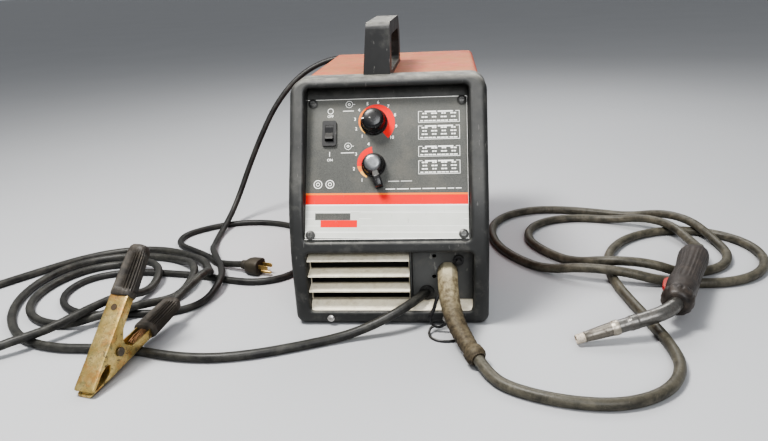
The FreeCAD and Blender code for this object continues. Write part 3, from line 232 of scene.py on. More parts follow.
MT["print_grey"] = plastic("print_grey", (0.60, 0.60, 0.57), 0.5, 900, 0.05, 0.15, DUST, 0.1, 0.0)
MT["print_red"] = plastic("print_red", (0.80, 0.032, 0.022), 0.5, 900, 0.05, 0.06, (0.45, 0.20, 0.15), 0.10, 0.12, 0.3)
MT["print_yellow"] = plastic("print_yellow", (0.85, 0.46, 0.12), 0.5, 900, 0.05, 0.06, DUST, 0.1, 0.1, 0.3)
MT["print_orange"] = plastic("print_orange", (0.84, 0.22, 0.04), 0.5, 900, 0.05, 0.06, DUST, 0.1, 0.1, 0.3)
MT["print_silver"] = plastic("print_silver", (0.52, 0.53, 0.49), 0.42, 1200, 0.15, 0.35, (0.50, 0.46, 0.38), 0.25, 0.25)
MT["plate_edge"] = metal("plate_edge", (0.75, 0.74, 0.70), 0.4, (0.3, 0.28, 0.25), 0.3, 300, mval=0.7)
MT["knob_cap"] = metal("knob_cap_metal", (0.20, 0.205, 0.21), 0.34, (0.09, 0.09, 0.095), 0.5, 260, mval=0.85)
# painted highlight: the pointer ridge is coloured grey to stand in for its upward face catching the light
MT["pointer_grey"] = plastic("pointer_grey", (0.15, 0.145, 0.135), 0.5, 900, 0.1, 0.5, DUST_GREY, 0.4, 0.3)
MT["trigger"] = plastic("trigger_red", (0.36, 0.008, 0.010), 0.35, 900, 0.1, 0.25, DUST, 0.2, 0.2)
MT["steel"] = metal("zinc_steel", (0.52, 0.51, 0.49), 0.36, (0.16, 0.13, 0.10), 0.55, 260)
MT["screw_dark"] = metal("screw_dull", (0.13, 0.13, 0.125), 0.42, (0.05, 0.045, 0.04), 0.6, 300, mval=0.8)
MT["core"] = metal("core_steel", (0.14, 0.13, 0.13), 0.5, (0.05, 0.035, 0.03), 0.6, 200, brush=(60, 60, 2200))
MT["winding"] = metal("winding_copper", (0.42, 0.17, 0.07), 0.35, (0.16, 0.07, 0.03), 0.4, 200, brush=(30, 30, 1300))
MT["wire"] = metal("wound_wire", (0.60, 0.34, 0.20), 0.3, (0.30, 0.15, 0.08), 0.3, 200, brush=(1400, 30, 30))
MT["alu"] = metal("aluminium", (0.60, 0.60, 0.61), 0.38, (0.25, 0.25, 0.25), 0.3, 200)
MT["motor"] = metal("motor_grey", (0.10, 0.10, 0.105), 0.45, (0.05, 0.045, 0.04), 0.4, 200, mval=0.6)
MT["neck"] = metal("gooseneck_metal", (0.17, 0.165, 0.155), 0.30, (0.07, 0.055, 0.042), 0.65, 260, mval=0.85)
MT["nozzle"] = metal("nozzle_metal", (0.20, 0.185, 0.16), 0.34, (0.06, 0.042, 0.032), 0.8, 320, mval=0.8)
MT["nozzle_band"] = metal("nozzle_band_metal", (0.36, 0.33, 0.28), 0.36, (0.16, 0.11, 0.08), 0.6, 320, mval=0.85)
MT["tip"] = metal("tip_spatter", (0.50, 0.45, 0.38), 0.60, (0.20, 0.14, 0.10), 0.7, 500, mval=0.40)
MT["copper"] = metal("tip_copper", (0.62, 0.30, 0.17), 0.35, (0.18, 0.09, 0.05), 0.5, 300)
m = Mat("clamp_plating")
cp = m.mix(m.ramp(m.noise(55, 6, 0.62), [(0.32, 0.0), (0.68, 1.0)]), (0.74, 0.60, 0.30), (0.50, 0.37, 0.14))
cp = m.mix(m.math("MULTIPLY", m.ramp(m.noise(42, 8, 0.7, dist=0.7), [(0.50, 0.0), (0.62, 1.0)]), 0.60), cp, (0.58, 0.27, 0.09))
cp = m.mix(m.math("MULTIPLY", m.ramp(m.noise(80, 8, 0.72, dist=0.4), [(0.54, 0.0), (0.64, 1.0)]), 0.55), cp, (0.26, 0.27, 0.15))
cw = m.math("MULTIPLY", m.ramp(m.noise(170, 10, 0.74, dist=0.9), [(0.53, 0.0), (0.62, 1.0)]), 0.88)
cp = m.mix(cw, cp, (0.085, 0.065, 0.040))
MT["clamp"] = m.set(cp, m.math("ADD", m.math("MULTIPLY", m.noise(300, 5, 0.6), 0.25), m.math("ADD", m.math("MULTIPLY", cw, 0.3), 0.22), clamp=True), m.ramp(cw, [(0.0, 0.88), (0.7, 0.4)]), m.bump(m.noise(260, 6, 0.7), 0.35, 0.0008))
MT["strand"] = metal("strand_copper", (0.34, 0.20, 0.11), 0.45, (0.12, 0.07, 0.04), 0.7, 400, mval=0.7)
MT["spring"] = metal("spring_steel", (0.11, 0.085, 0.06), 0.5, (0.07, 0.04, 0.022), 0.8, 300, mval=0.8)
MT["pin"] = metal("pivot_steel", (0.16, 0.14, 0.115), 0.42, (0.07, 0.05, 0.035), 0.8, 300, mval=0.85)
MT["blade"] = metal("blade_brass", (0.55, 0.40, 0.18), 0.34, (0.16, 0.11, 0.06), 0.7, 300)
MT["foot"] = rubber("foot_rubber", (0.014, 0.014, 0.014), DUST_GREY, 0.7, 0.3)
MT["gun_cable"] = rubber("gun_cable_rubber", (0.030, 0.028, 0.022), (0.22, 0.20, 0.15), 0.36, 0.58, 110)
MT["work_cable"] = rubber("work_cable_rubber", (0.015, 0.015, 0.0145), (0.16, 0.155, 0.13), 0.40, 0.36, 90)
MT["power_cord"] = rubber("power_cord_rubber", (0.013, 0.013, 0.013), (0.13, 0.125, 0.105), 0.42, 0.26, 90)
m = Mat("boot_rubber")
bz = m.math("ADD", m.sep(m.co)[2], m.math("MULTIPLY", m.noise(60, 5, 0.6), 0.030))
bc = m.mix(m.ramp(m.noise(140, 8, 0.7), [(0.36, 0.0), (0.66, 1.0)]), (0.11, 0.085, 0.050), (0.33, 0.285, 0.185))
bd = m.mix(m.ramp(m.noise(200, 8, 0.7), [(0.38, 0.0), (0.70, 1.0)]), (0.024, 0.018, 0.012), (0.12, 0.095, 0.062))
bw = m.ramp(bz, [(0.046, 0.0), (0.078, 1.0)])
bu = m.math("MULTIPLY", m.up(0.1, 0.9), 0.28)
rim = m.math("MULTIPLY", m.ramp(m.sep(m.co)[2], [(0.0735, 0.0), (0.0765, 1.0)]), 0.55)
MT["boot"] = m.set(m.mix(rim, m.mix(m.math("MAXIMUM", bw, bu), bd, bc), (0.62, 0.57, 0.42)), 0.62, 0.0, m.bump(m.noise(900, 4, 0.6), 0.3, 0.0006), Specular_IOR_Level=0.35)
MT["gun_body"] = rubber("gun_body_plastic", (0.014, 0.0125, 0.012), (0.19, 0.15, 0.12), 0.36, 0.36, 130, fine=900)
MT["grip"] = rubber("clamp_grip_rubber", (0.020, 0.018, 0.017), (0.20, 0.17, 0.13), 0.48, 0.45, 90)
MT["plug"] = rubber("plug_rubber", (0.020, 0.018, 0.016), (0.16, 0.135, 0.09), 0.5, 0.32, 110)

# nameplate film: near-black with fine pale speckle, a painted highlight that lightens its upper part, and faint rubbing
m = Mat("nameplate_film")
c0 = m.mix(m.ramp(m.noise(1500, 2, 0.5), [(0.36, 0.0), (0.72, 1.0)]), (0.060, 0.061, 0.056), (0.130, 0.131, 0.118))
# painted highlight: the film turns lighter towards the top of the plate (object z 215 to 285 mm), where the light falls
# on it
c0 = m.mix(m.math("MULTIPLY", m.ramp(m.sep(m.co)[2], [(0.215, 0.0), (0.285, 1.0)]), 0.30), c0, (0.24, 0.24, 0.215))
c0 = m.mix(m.math("MULTIPLY", m.ramp(m.noise(30, 7, 0.7), [(0.48, 0.0), (0.72, 1.0)]), 0.35), c0, (0.19, 0.175, 0.14))
MT["film"] = m.set(c0, m.math("ADD", m.math("MULTIPLY", m.noise(50, 5, 0.6), 0.2), 0.36), 0.0, m.bump(m.noise(2200, 2, 0.5), 0.18, 0.0003), Specular_IOR_Level=0.45)

# red paint: faded, rubbed through and dusty, most of all on top
def red_paint(name, top):
    m = Mat(name)
    red = m.mix(m.ramp(m.noise(9, 6, 0.6), [(0.3, 0.0), (0.7, 1.0)]), (0.34, 0.020, 0.014), (0.50, 0.050, 0.034))
    fade = m.ramp(m.noise(26, 9, 0.72, dist=0.5), [(0.40, 0.0), (0.60, 1.0)])
    col = m.mix(m.math("MULTIPLY", fade, 0.40), red, (0.50, 0.18, 0.11))
    up = m.math("MULTIPLY", m.up(0.5, 0.98), m.ramp(m.noise(20, 10, 0.74, dist=0.9), [(0.34, 0.30), (0.58, 1.0)]))
    col = m.mix(m.math("MULTIPLY", up, top), col, (0.36, 0.22, 0.11))
    up2 = m.math("MULTIPLY", m.up(0.5, 0.98), m.ramp(m.noise(90, 9, 0.75), [(0.50, 0.0), (0.62, 1.0)]))
    col = m.mix(m.math("MULTIPLY", up2, top * 0.5), col, (0.17, 0.12, 0.09))
    chips = m.ramp(m.noise(95, 10, 0.75, dist=0.4), [(0.665, 0.0), (0.675, 1.0)])
    col = m.mix(chips, col, (0.13, 0.11, 0.10))
    sc = m.ramp(m.noise(1.0, 2, 0.5, vec=m.scale(m.co, (40, 240, 70))), [(0.715, 0.0), (0.722, 1.0)])
    col = m.mix(m.math("MULTIPLY", sc, 0.6), col, (0.50, 0.42, 0.36))
    r = m.math("ADD", m.math("MULTIPLY", m.noise(60, 6, 0.6), 0.25), m.math("ADD", m.math("MULTIPLY", up, 0.3), 0.28), clamp=True)
    return m.set(col, r, 0.0, m.bump(m.noise(420, 4, 0.6), 0.15, 0.0006, m.bump(chips, 0.2, 0.0004)), Specular_IOR_Level=0.3)
MT["red_case"] = red_paint("case_paint_red", 0.66)
MT["red_side"] = red_paint("side_paint_red", 0.5)

NODE_MAT = {
    "front_bezel": "black", "nameplate_panel": "film", "nameplate_screws": "screw_dark", "front_louvres": "cream",
    "cable_panel": "panel_dark", "rocker_housing": "housing", "power_rocker": "rocker", "speed_knob": "gloss",
    "voltage_knob": "gloss", "speed_potentiometer": "steel", "voltage_switch": "housing", "breaker_body": "housing",
    "breaker_button": "housing", "case_wrap": "red_case", "side_door": "red_side", "door_hinge": "steel", "door_latch": "gloss",
    "rear_panel": "red_side", "base_pan": "panel_dark", "rubber_feet": "foot", "handle": "handle", "case_screws": "steel",
    "partition": "steel", "transformer_core": "core", "transformer_coils": "winding", "output_choke": "core", "capacitor": "can",
    "rectifier": "alu", "control_board": "board", "fan_motor": "motor", "fan_blade": "white_pl", "wire_drive_gearmotor": "motor",
    "drive_roll": "steel", "idle_arm": "alu", "idle_roll": "steel", "tension_knob": "gloss", "wire_spool": "housing",
    "wire_coil": "wire", "spool_spindle": "housing", "gun_cable": "gun_cable", "work_cable": "work_cable",
    "power_cord": "power_cord", "cord_strain_relief": "housing", "work_cable_grommet": "foot", "gun_boot": "boot",
    "gun_handle_left": "gun_body", "gun_handle_right": "gun_body", "gun_trigger": "trigger", "gun_neck_nut": "gun_body",
    "gooseneck": "neck", "nozzle": "nozzle", "contact_tip": "copper", "clamp_lower_arm": "clamp", "clamp_upper_arm": "clamp",
    "clamp_lower_grip": "grip", "clamp_upper_grip": "grip", "clamp_pivot_pin": "pin", "clamp_spring": "spring",
    "plug_body": "plug", "plug_blades": "blade"}
for name, key in NODE_MAT.items():
    o = NODES[name]
    if not o.material_slots:
        o.data.materials.append(MT[key])
    for s in o.material_slots:
        s.material = MT[key]

# ------------------------------------------------------------------ mesh kit
def add(name, verts, faces, mat, body="machine", smooth=True, node=None, flat_angle=None, sub=0):
    me = bpy.data.meshes.new(name)
    me.from_pydata([tuple(v) for v in verts], [], faces)
    bm = bmesh.new()
    bm.from_mesh(me)
    bmesh.ops.recalc_face_normals(bm, faces=bm.faces)
    bm.to_mesh(me)
    bm.free()
    for p in me.polygons:
        p.use_smooth = smooth
    if smooth and flat_angle:
        me.set_sharp_from_angle(angle=math.radians(flat_angle))
    ob = bpy.data.objects.new(name, me)
    bpy.context.scene.collection.objects.link(ob)
    ob.data.materials.append(MT[mat])
    if sub:
        s = ob.modifiers.new("sub", "SUBSURF")
        s.levels = s.render_levels = sub
    if body:
        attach(ob, body)
    if node:
        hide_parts(*([node] if isinstance(node, str) else node))
    return ob

def rings(secs, cap=True, close=False):
    """Verts and faces that join rings of equal point count."""
    n = len(secs[0])
    verts = [p for s in secs for p in s]
    faces = []
    k = len(secs)
    for i in range(k if close else k - 1):
        a, b = i * n, ((i + 1) % k) * n
        for j in range(n):
            faces.append((a + j, a + (j + 1) % n, b + (j + 1) % n, b + j))
    if cap and not close:
        faces.append(tuple(range(n - 1, -1, -1)))
        faces.append(tuple(range((k - 1) * n, k * n)))
    return verts, faces

def merge(parts):
    V_, F_ = [], []
    for v, f in parts:
        o = len(V_)
        V_ += list(v)
        F_ += [tuple(i + o for i in q) for q in f]
    return V_, F_

def smooth_path(pts, n):
    """Points spaced evenly on a Catmull-Rom line through pts."""
    P = [Vector(p) for p in pts]
    P = [P[0] * 2 - P[1]] + P + [P[-1] * 2 - P[-2]]
    out = []
    for i in range(1, len(P) - 2):
        p0, p1, p2, p3 = P[i - 1:i + 3]
        for k in range(24):
            t = k / 24
            out.append(0.5 * ((2 * p1) + (p2 - p0) * t + (2 * p0 - 5 * p1 + 4 * p2 - p3) * t * t + (3 * p1 - p0 - 3 * p2 + p3) * t ** 3))
    out.append(P[-2])
    L = [0]
    for a, b in zip(out, out[1:]):
        L.append(L[-1] + (b - a).length)
    res, j = [], 0
    for k in range(n + 1):
        s = L[-1] * k / n
        while j < len(L) - 2 and L[j + 1] < s:
            j += 1
        t = (s - L[j]) / max(1e-9, L[j + 1] - L[j])
        res.append(out[j].lerp(out[j + 1], min(1, max(0, t))))
    return res, L[-1]

def sweep(path, section, up=Vector((0, 0, 1))):
    """section(i, t) gives [(a, b)] offsets across the path, in the path's units."""
    secs = []
    n = len(path)
    tan0 = (path[1] - path[0]).normalized()
    u = up - tan0 * up.dot(tan0)
    u.normalize()
    for i, p in enumerate(path):
        a = path[max(0, i - 1)]
        b = path[min(n - 1, i + 1)]
        t = (b - a).normalized()
        u = (u - t * u.dot(t)).normalized()
        w = t.cross(u)
        secs.append([p + w * x + u * y for x, y in section(i, i / (n - 1))])
    return secs

def circle(r, n=28, ph=0.0):
    return [(r * math.cos(2 * math.pi * k / n + ph), r * math.sin(2 * math.pi * k / n + ph)) for k in range(n)]

def superell(a, b, e=2.6, n=48):
    out = []
    for k in range(n):
        t = 2 * math.pi * k / n
        c, s = math.cos(t), math.sin(t)
        out.append((a * math.copysign(abs(c) ** (2 / e), c), b * math.copysign(abs(s) ** (2 / e), s)))
    return out

def interp(table, x):
    for (x0, *a), (x1, *b) in zip(table, table[1:]):
        if x <= x1:
            t = (x - x0) / (x1 - x0)
            t = max(0.0, min(1.0, t))
            return [p + (q - p) * t for p, q in zip(a, b)]
    return list(table[-1][1:])

# ------------------------------------------------------------------ camera
cam = bpy.data.cameras.new("camera")
cam_o = bpy.data.objects.new("camera", cam)
bpy.context.scene.collection.objects.link(cam_o)
yaw, pitch, roll = math.radians(5.95), math.radians(19.46), math.radians(-2.72)
fwd = Vector((-math.sin(yaw) * math.cos(pitch), math.cos(yaw) * math.cos(pitch), -math.sin(pitch)))
rgt = Vector((math.cos(yaw), math.sin(yaw), 0))
upv = rgt.cross(fwd)
R_ = rgt * math.cos(roll) + upv * math.sin(roll)
U_ = upv * math.cos(roll) - rgt * math.sin(roll)
mw = Matrix(((R_.x, U_.x, -fwd.x, 0.0777), (R_.y, U_.y, -fwd.y, -0.9864), (R_.z, U_.z, -fwd.z, 0.4201), (0, 0, 0, 1)))
cam_o.matrix_world = mw
cam.sensor_width = 36
cam.sensor_fit = "HORIZONTAL"
cam.lens = 683.1 / 768 * 36
cam.clip_start = 0.01
bpy.context.scene.camera = cam_o

# ------------------------------------------------------------------ cords
GUN_ROUTE = [(106.4, -311.6, 13.6), (118, -339, 8.4), (143, -362, 6.8), (194.9, -382.4, 6.8), (250.1, -385.7, 6.8), (299.5, -361.1, 6.8), (328, -314, 6.8), (328.7, -258.5, 6.8), (320.2, -203.3, 6.8), (311, -148.2, 6.8), (304.2, -92.7, 6.8), (305.5, -37, 6.8), (319.5, 16.9, 6.8), (348.1, 64.5, 6.8), (391.9, 98.6, 6.8), (445.4, 113, 6.8), (498.7, 99, 6.8), (534.3, 57.4, 6.8), (541.1, 2.6, 6.8), (522, -49.5, 6.8), (481.2, -86.6, 6.8), (427.2, -98.7, 6.8), (371.8, -92.1, 6.8), (316.3, -88.8, 21.8), (262.6, -73.2, 21.8), (213.9, -46.6, 6.8), (177.1, -4.8, 6.8), (153.2, 45.5, 6.8), (145.1, 100.5, 6.8), (151.7, 155.8, 6.8), (181.7, 202.3, 6.8), (230.7, 227.1, 6.8), (286.1, 223.6, 6.8), (338.9, 205.7, 6.8), (390.6, 184.6, 6.8), (435.7, 152, 23.6), (471.4, 109.1, 23.6), (493.2, 58, 6.8), (492.5, 2.6, 6.8), (465.3, -45.3, 6.8), (406.5, -67.5, 6.8), (358.8, -63.3, 23.2), (304.4, -51.9, 23.2), (258.3, -20.9, 6.8), (223.2, 22.3, 6.8), (202.6, 73.8, 6.8), (210.2, 128.4, 6.8), (247.4, 168.7, 6.8), (301.2, 179.9, 6.8), (355, 166.2, 6.8), (402.3, 136.7, 21.3), (438, 94, 21.3), (452, 18, 12), (440, -22, 29), (420, -60, 35)]
WORK_ROUTE = [(52.5, -176.5, 39.5), (31, -209.5, 35.5), (3, -229, 25.5), (-28, -239, 13.5), (-62, -250, 5.8), (-109.4, -271.5, 5.8), (-157.9, -290.4, 5.8), (-208.9, -300.8, 5.8), (-260.4, -296, 5.8), (-310.6, -282.2, 5.8), (-362.4, -278.9, 5.8), (-414.5, -278.9, 5.8), (-463.4, -262.5, 5.8), (-502.9, -228.8, 5.8), (-532.1, -185.8, 5.8), (-549, -136.7, 5.8), (-552.6, -84.9, 5.8), (-540, -34.7, 5.8), (-506.3, 4.1, 5.8), (-457.1, 19.6, 5.8), (-405.2, 17.9, 5.8), (-356.6, 0.4, 5.8), (-321, -37.1, 16.7), (-303.6, -85.9, 16.7), (-310.1, -136.9, 5.8), (-340.1, -179, 17.1), (-383.2, -208, 17.1), (-433, -222.1, 5.8), (-482.1, -207.6, 5.8), (-517.4, -170, 5.8), (-530.4, -120.1, 5.8), (-520.9, -69.2, 5.8), (-491.5, -26.9, 5.8), (-442.8, -11.8, 5.8), (-393.5, -27.2, 16.6), (-361.7, -67.2, 16.6), (-360.3, -118.8, 5.8), (-377.7, -167.7, 25.5), (-403.4, -213, 25.5), (-434.8, -254.5, 18.1), (-472.1, -290.8, 18.1), (-517.2, -316.5, 5.8), (-568, -323.3, 5.8), (-615.2, -302.3, 5.8), (-647.8, -262.2, 5.8), (-656.5, -211.4, 5.8), (-648.7, -160, 5.8), (-627.4, -112.7, 5.8), (-596.7, -70.7, 5.8), (-564.5, -29.8, 5.8), (-530.5, 9.5, 5.8), (-487.3, 38.2, 5.8), (-436.8, 49, 5.8), (-385.6, 40.8, 5.8), (-341.5, 13.7, 5.8), (-307.6, -25.7, 15.4), (-284, -72, 15.4), (-268.5, -112, 38.3), (-273.2, -152.8, 42.8), (-287.1, -210.5, 33.9)]
POWER_ROUTE = [(-85, 238, 281), (-86, 273, 284), (-110, 299, 287), (-155, 299, 281), (-203, 284, 256), (-244, 264, 210), (-274, 246, 154), (-299, 229, 98), (-315, 211, 55), (-325, 186, 27), (-330, 152, 12), (-331, 112, 5), (-324, 65.9, 5), (-311.2, 21.1, 17.1), (-289.9, -20.3, 17.1), (-268.1, -61.5, 15.8), (-257.8, -106.7, 15.8), (-266.1, -152.3, 5), (-301.2, -181, 5), (-347.6, -184.3, 5), (-393.9, -189.8, 5), (-439.7, -182.8, 5), (-476, -154.4, 5), (-491.7, -111, 5), (-479.1, -67.2, 5), (-438.4, -45.9, 5), (-391.9, -45, 5), (-345.7, -51.2, 5), (-299.8, -59.7, 5), (-256.1, -75.9, 5), (-210.7, -85.5, 5), (-169.3, -67, 5), (-149.8, -25.1, 5), (-145.9, 21.3, 5), (-149.7, 67.7, 5), (-164.4, 111.9, 5), (-193.7, 147.8, 5), (-233, 172.6, 5), (-278.4, 182.5, 5), (-324.3, 176.3, 5), (-364.7, 153.3, 5), (-395.8, 119.1, 5), (-391.9, 74.7, 5), (-355.2, 46.2, 5), (-318, 18, 5), (-287.8, -19.9, 6.5), (-246, -33.5, 12.5)]

def cord_curve(name, route, diameter, mat, node):
    cu = bpy.data.curves.new(name, "CURVE")
    cu.dimensions = "3D"
    sp = cu.splines.new("NURBS")
    sp.points.add(len(route) - 1)
    for q, p in zip(sp.points, route):
        q.co = (p[0] / 1000, p[1] / 1000, p[2] / 1000, 1)
    sp.order_u = 3
    sp.use_endpoint_u = True
    sp.resolution_u = 8
    cu.bevel_depth = diameter / 2000
    cu.bevel_resolution = 5
    cu.use_fill_caps = True
    ob = bpy.data.objects.new(name, cu)
    bpy.context.scene.collection.objects.link(ob)
    cu.materials.append(MT[mat])
    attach(ob, "machine")
    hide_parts(node)
    return ob

gun_cable = cord_curve("gun_cable_cord", GUN_ROUTE, 13.5, "gun_cable", "gun_cable")
work_cable = cord_curve("work_cable_cord", WORK_ROUTE, 11.5, "work_cable", "work_cable")
power_cord = cord_curve("power_cord_cord", POWER_ROUTE, 10.0, "power_cord", "power_cord")

# ------------------------------------------------------------------ control panel print
def flat_poly(pts, z):
    return [panel(x, y, z) for x, y in pts], [tuple(range(len(pts)))]

def strip(x0, y0, x1, y1, z, w=None):
    return flat_poly([(x0, y0), (x1, y0), (x1, y1), (x0, y1)], z)

def crescent(cx, cy, a0, a1, r0, t0, t1, z, n=64):
    """Scale band round a dial: from angle a0 to a1 (degrees), inner radius r0, thickness from t0 to t1."""
    v, f = [], []
    for k in range(n + 1):
        t = k / n
        a = math.radians(a0 + (a1 - a0) * t)
        ro = r0 + t0 + (t1 - t0) * t
        v += [panel(cx + r0 * math.cos(a), cy + r0 * math.sin(a), z), panel(cx + ro * math.cos(a), cy + ro * math.sin(a), z)]
    for k in range(n):
        f.append((2 * k, 2 * k + 1, 2 * k + 3, 2 * k + 2))
    return v, f

def ring2(cx, cy, r0, r1, z, a0=0, a1=360, n=40):
    v, f = [], []
    for k in range(n + 1):
        a = math.radians(a0 + (a1 - a0) * k / n)
        v += [panel(cx + r0 * math.cos(a), cy + r0 * math.sin(a), z), panel(cx + r1 * math.cos(a), cy + r1 * math.sin(a), z)]
    for k in range(n):
        f.append((2 * k, 2 * k + 1, 2 * k + 3, 2 * k + 2))
    return v, f

def glyphs(text, cx, cy, size, z, bold=0.0):
    cu = bpy.data.curves.new("glyph", "FONT")
    cu.body = text
    cu.size = size
    cu.align_x = "CENTER"
    cu.align_y = "CENTER"
    cu.offset = bold
    cu.resolution_u = 3
    tmp = bpy.data.objects.new("glyph", cu)
    bpy.context.scene.collection.objects.link(tmp)
    dg = bpy.context.evaluated_depsgraph_get()
    me = bpy.data.meshes.new_from_object(tmp.evaluated_get(dg))
    v = [panel(cx + p.co.x, cy + p.co.y, z) for p in me.vertices]
    f = [tuple(p.vertices) for p in me.polygons]
    bpy.data.objects.remove(tmp)
    bpy.data.curves.remove(cu)
    bpy.data.meshes.remove(me)
    return v, f

PZ = 0.06
white, grey, red_, orange, silver = [], [], [], [], []
XL, XR = -103.9, 99.1
SK = -0.0105
def band(y0, y1, z, x0=XL, x1=XR):
    """Band across the plate, printed very slightly out of square."""
    return flat_poly([(x0, y0 + SK * x0), (x1, y0 + SK * x1), (x1, y1 + SK * x1), (x0, y1 + SK * x0)], z)
silver.append(band(3.4, 44.3, PZ))
red_.append(band(45.9, 58.0, PZ))
orange.append(band(58.0, 60.4, PZ))
white.append(band(44.3, 45.9, PZ + 0.02))
white += [band(36.9, 37.3, PZ + 0.04), band(35.2, 35.6, PZ + 0.04, XL, -92), band(35.2, 35.6, PZ + 0.04, -36, XR),
          band(27.7, 28.1, PZ + 0.04, XL, -87), band(27.7, 28.1, PZ + 0.04, -36, -20), band(27.7, 28.1, PZ + 0.04, 94, XR),
          band(18.7, 19.1, PZ + 0.04, XL, -84), band(18.7, 19.1, PZ + 0.04, -34, XR),
          band(10.3, 10.8, PZ + 0.04), band(11.7, 12.0, PZ + 0.04), band(3.4, 3.9, PZ + 0.04)]
# bright metal strips along the plate's top, right and bottom edges: aluminium edge colour, lightened further as a
# painted glint along the top and right edges
edge_v, edge_f = merge([strip(-104.1, 183.1, 99.3, 183.8, PZ), strip(99.0, 45, 99.42, 183.2, PZ), strip(-104.2, 2.3, 99.4, 3.2, PZ)])
add("nameplate_edge_line", edge_v, edge_f, "plate_edge", smooth=False)
# scales round the two controls, thin and pale at the low end, wide and red at the high end
SPD, VLT = (-18.0, 152.0), (-18.0, 96.0)
yellow = []
yellow.append(crescent(*SPD, 232, 196, 17.4, 1.0, 2.0, PZ))
orange.append(crescent(*SPD, 196, 122, 17.4, 2.0, 4.2, PZ))
red_.append(crescent(*SPD, 122, 40, 17.4, 4.2, 8.4, PZ))
red_.append(crescent(*SPD, 40, -50, 17.4, 8.4, 10.2, PZ))
yellow.append(crescent(*VLT, 240, 205, 15.8, 2.2, 3.6, PZ))
orange.append(crescent(*VLT, 205, 182, 15.8, 3.6, 5.2, PZ))
red_.append(crescent(*VLT, 182, 96, 15.8, 5.2, 8.6, PZ))
for k in range(10):
    a = 230 - 272 * k / 9
    rr = 23.4 + 6.0 * k / 9 + (1.0 if k == 9 else 0)
    ar = math.radians(a)
    white.append(glyphs(str(k + 1), SPD[0] + rr * math.cos(ar) , SPD[1] + rr * math.sin(ar), 5.8, PZ + 0.05, 0.11))
for k in range(4):
    a = 232 - 128 * k / 3
    rr = 24.0 + 4.4 * k / 3
    ar = math.radians(a)
    white.append(glyphs(str(k + 1), VLT[0] + rr * math.cos(ar), VLT[1] + rr * math.sin(ar), 5.8, PZ + 0.05, 0.11))
# power switch marks
white.append(ring2(-74, 168.0, 3.0, 3.9, PZ + 0.02))
white.append(glyphs("OFF", -74, 161.0, 4.6, PZ + 0.02, 0.09))
white.append(strip(-75.0, 108.5, -74.0, 114.5, PZ + 0.02))
white.append(glyphs("ON", -74, 103.8, 4.6, PZ + 0.02, 0.09))
# plain symbols by the two controls: a spool and a regulated output
for (cx, cy) in ((-50, 176.5), (-51, 121.5)):
    white.append(ring2(cx, cy, 4.0, 4.6, PZ + 0.02))
    white.append(ring2(cx, cy, 0.9, 1.7, PZ + 0.02))
    white.append(strip(cx + 4.6, cy - 0.3, cx + 7.6, cy + 0.3, PZ + 0.02))
white.append(strip(-58, 167.3, -44, 168.3, PZ + 0.02))
white.append(strip(-60, 112.4, -43, 113.4, PZ + 0.02))
# ruled blank tables
def table(x0, y0, x1, y1, rows, cols, z):
    t = 0.7
    out = [strip(x0, y0, x1, y0 + t, z), strip(x0, y1 - t, x0 + (x1 - x0) * 0.10, y1, z), strip(x1 - (x1 - x0) * 0.10, y1 - t, x1, y1, z),
           strip(x0, y0, x0 + t, y1, z), strip(x1 - t, y0, x1, y1, z)]
    h = (y1 - y0 - 1.0) / rows
    for r in range(rows):
        yy = y0 + 1.6 + h * r
        w = (x1 - x0 - 4.0) / cols
        if r == 0:
            for c in range(9):
                xx = x0 + 2.5 + (x1 - x0 - 5.0) * c / 9
                out.append(strip(xx, yy, xx + (x1 - x0) / 9 - (1.2 if c % 3 else 2.0), yy + 1.5, z))
            continue
        for c in range(cols):
            cx = x0 + 2.0 + w * (c + 0.5)
            l = w * (0.62 if (r + c) % 2 else 0.46)
            out.append(strip(cx - l / 2, yy, cx - 0.3, yy + 1.8, z))
            out.append(strip(cx + 0.3, yy, cx + l / 2, yy + 1.8, z))
    out.append(strip(x0 + (x1 - x0) * 0.16, y1 - 1.6, x0 + (x1 - x0) * 0.44, y1 + 0.2, z))
    out.append(strip(x0 + (x1 - x0) * 0.47, y1 - 1.6, x0 + (x1 - x0) * 0.84, y1 + 0.2, z))
    return out
for y1, y0, rows in ((165, 150, 3), (146, 128, 4), (119.5, 106, 3), (101, 83.5, 4)):
    white += table(38, y0, 90, y1, rows, 4, PZ + 0.02)
for x0, x1 in ((-3, 9), (11, 26), (28, 41), (43, 58), (60, 72), (74, 82), (84, 91)):
    white.append(strip(x0, 64.6, x1, 65.8, PZ + 0.02))
for x0, x1 in ((0, 14), (16, 30)):
    grey.append(strip(x0, 74.6, x1, 75.6, PZ + 0.02))
for cx in (-88.7, -73.5):
    white.append(ring2(cx, 72.6, 4.6, 5.6, PZ + 0.02))
    white.append(ring2(cx, 72.6, 1.6, 2.6, PZ + 0.02))
# blank badge outlines on the silver band
white.append(band(35.0, 35.7, PZ + 0.06, -91, -47))
badge = []
badge.append(band(26.2, 34.9, PZ + 0.05, -91.5, -47))
v, f = merge(badge)
add("badge_dark", v, f, "film", smooth=False)
v, f = merge([band(17.0, 26.0, PZ + 0.05, -84.5, -38.5)])
add("badge_red", v, f, "print_red", smooth=False)
for nm, parts in (("print_white", white), ("print_grey", grey), ("print_red", red_), ("print_orange", orange), ("print_yellow", yellow), ("print_silver", silver)):
    v, f = merge(parts)
    add("nameplate_" + nm, v, f, nm, smooth=False)

# ------------------------------------------------------------------ controls
def lathe(profile, flutes=0, depth=0.0, zr=(0, 0), n=96):
    secs = []
    for r, z in profile:
        s = []
        for k in range(n):
            a = 2 * math.pi * k / n
            rr = r
            if flutes and zr[0] <= z <= zr[1]:
                rr = r - depth * (0.5 + 0.5 * math.cos(flutes * a)) ** 2
            s.append((rr * math.cos(a), rr * math.sin(a), z))
        secs.append(s)
    return rings(secs)

def place(vf, fn):
    v, f = vf
    return [fn(*p) for p in v], f

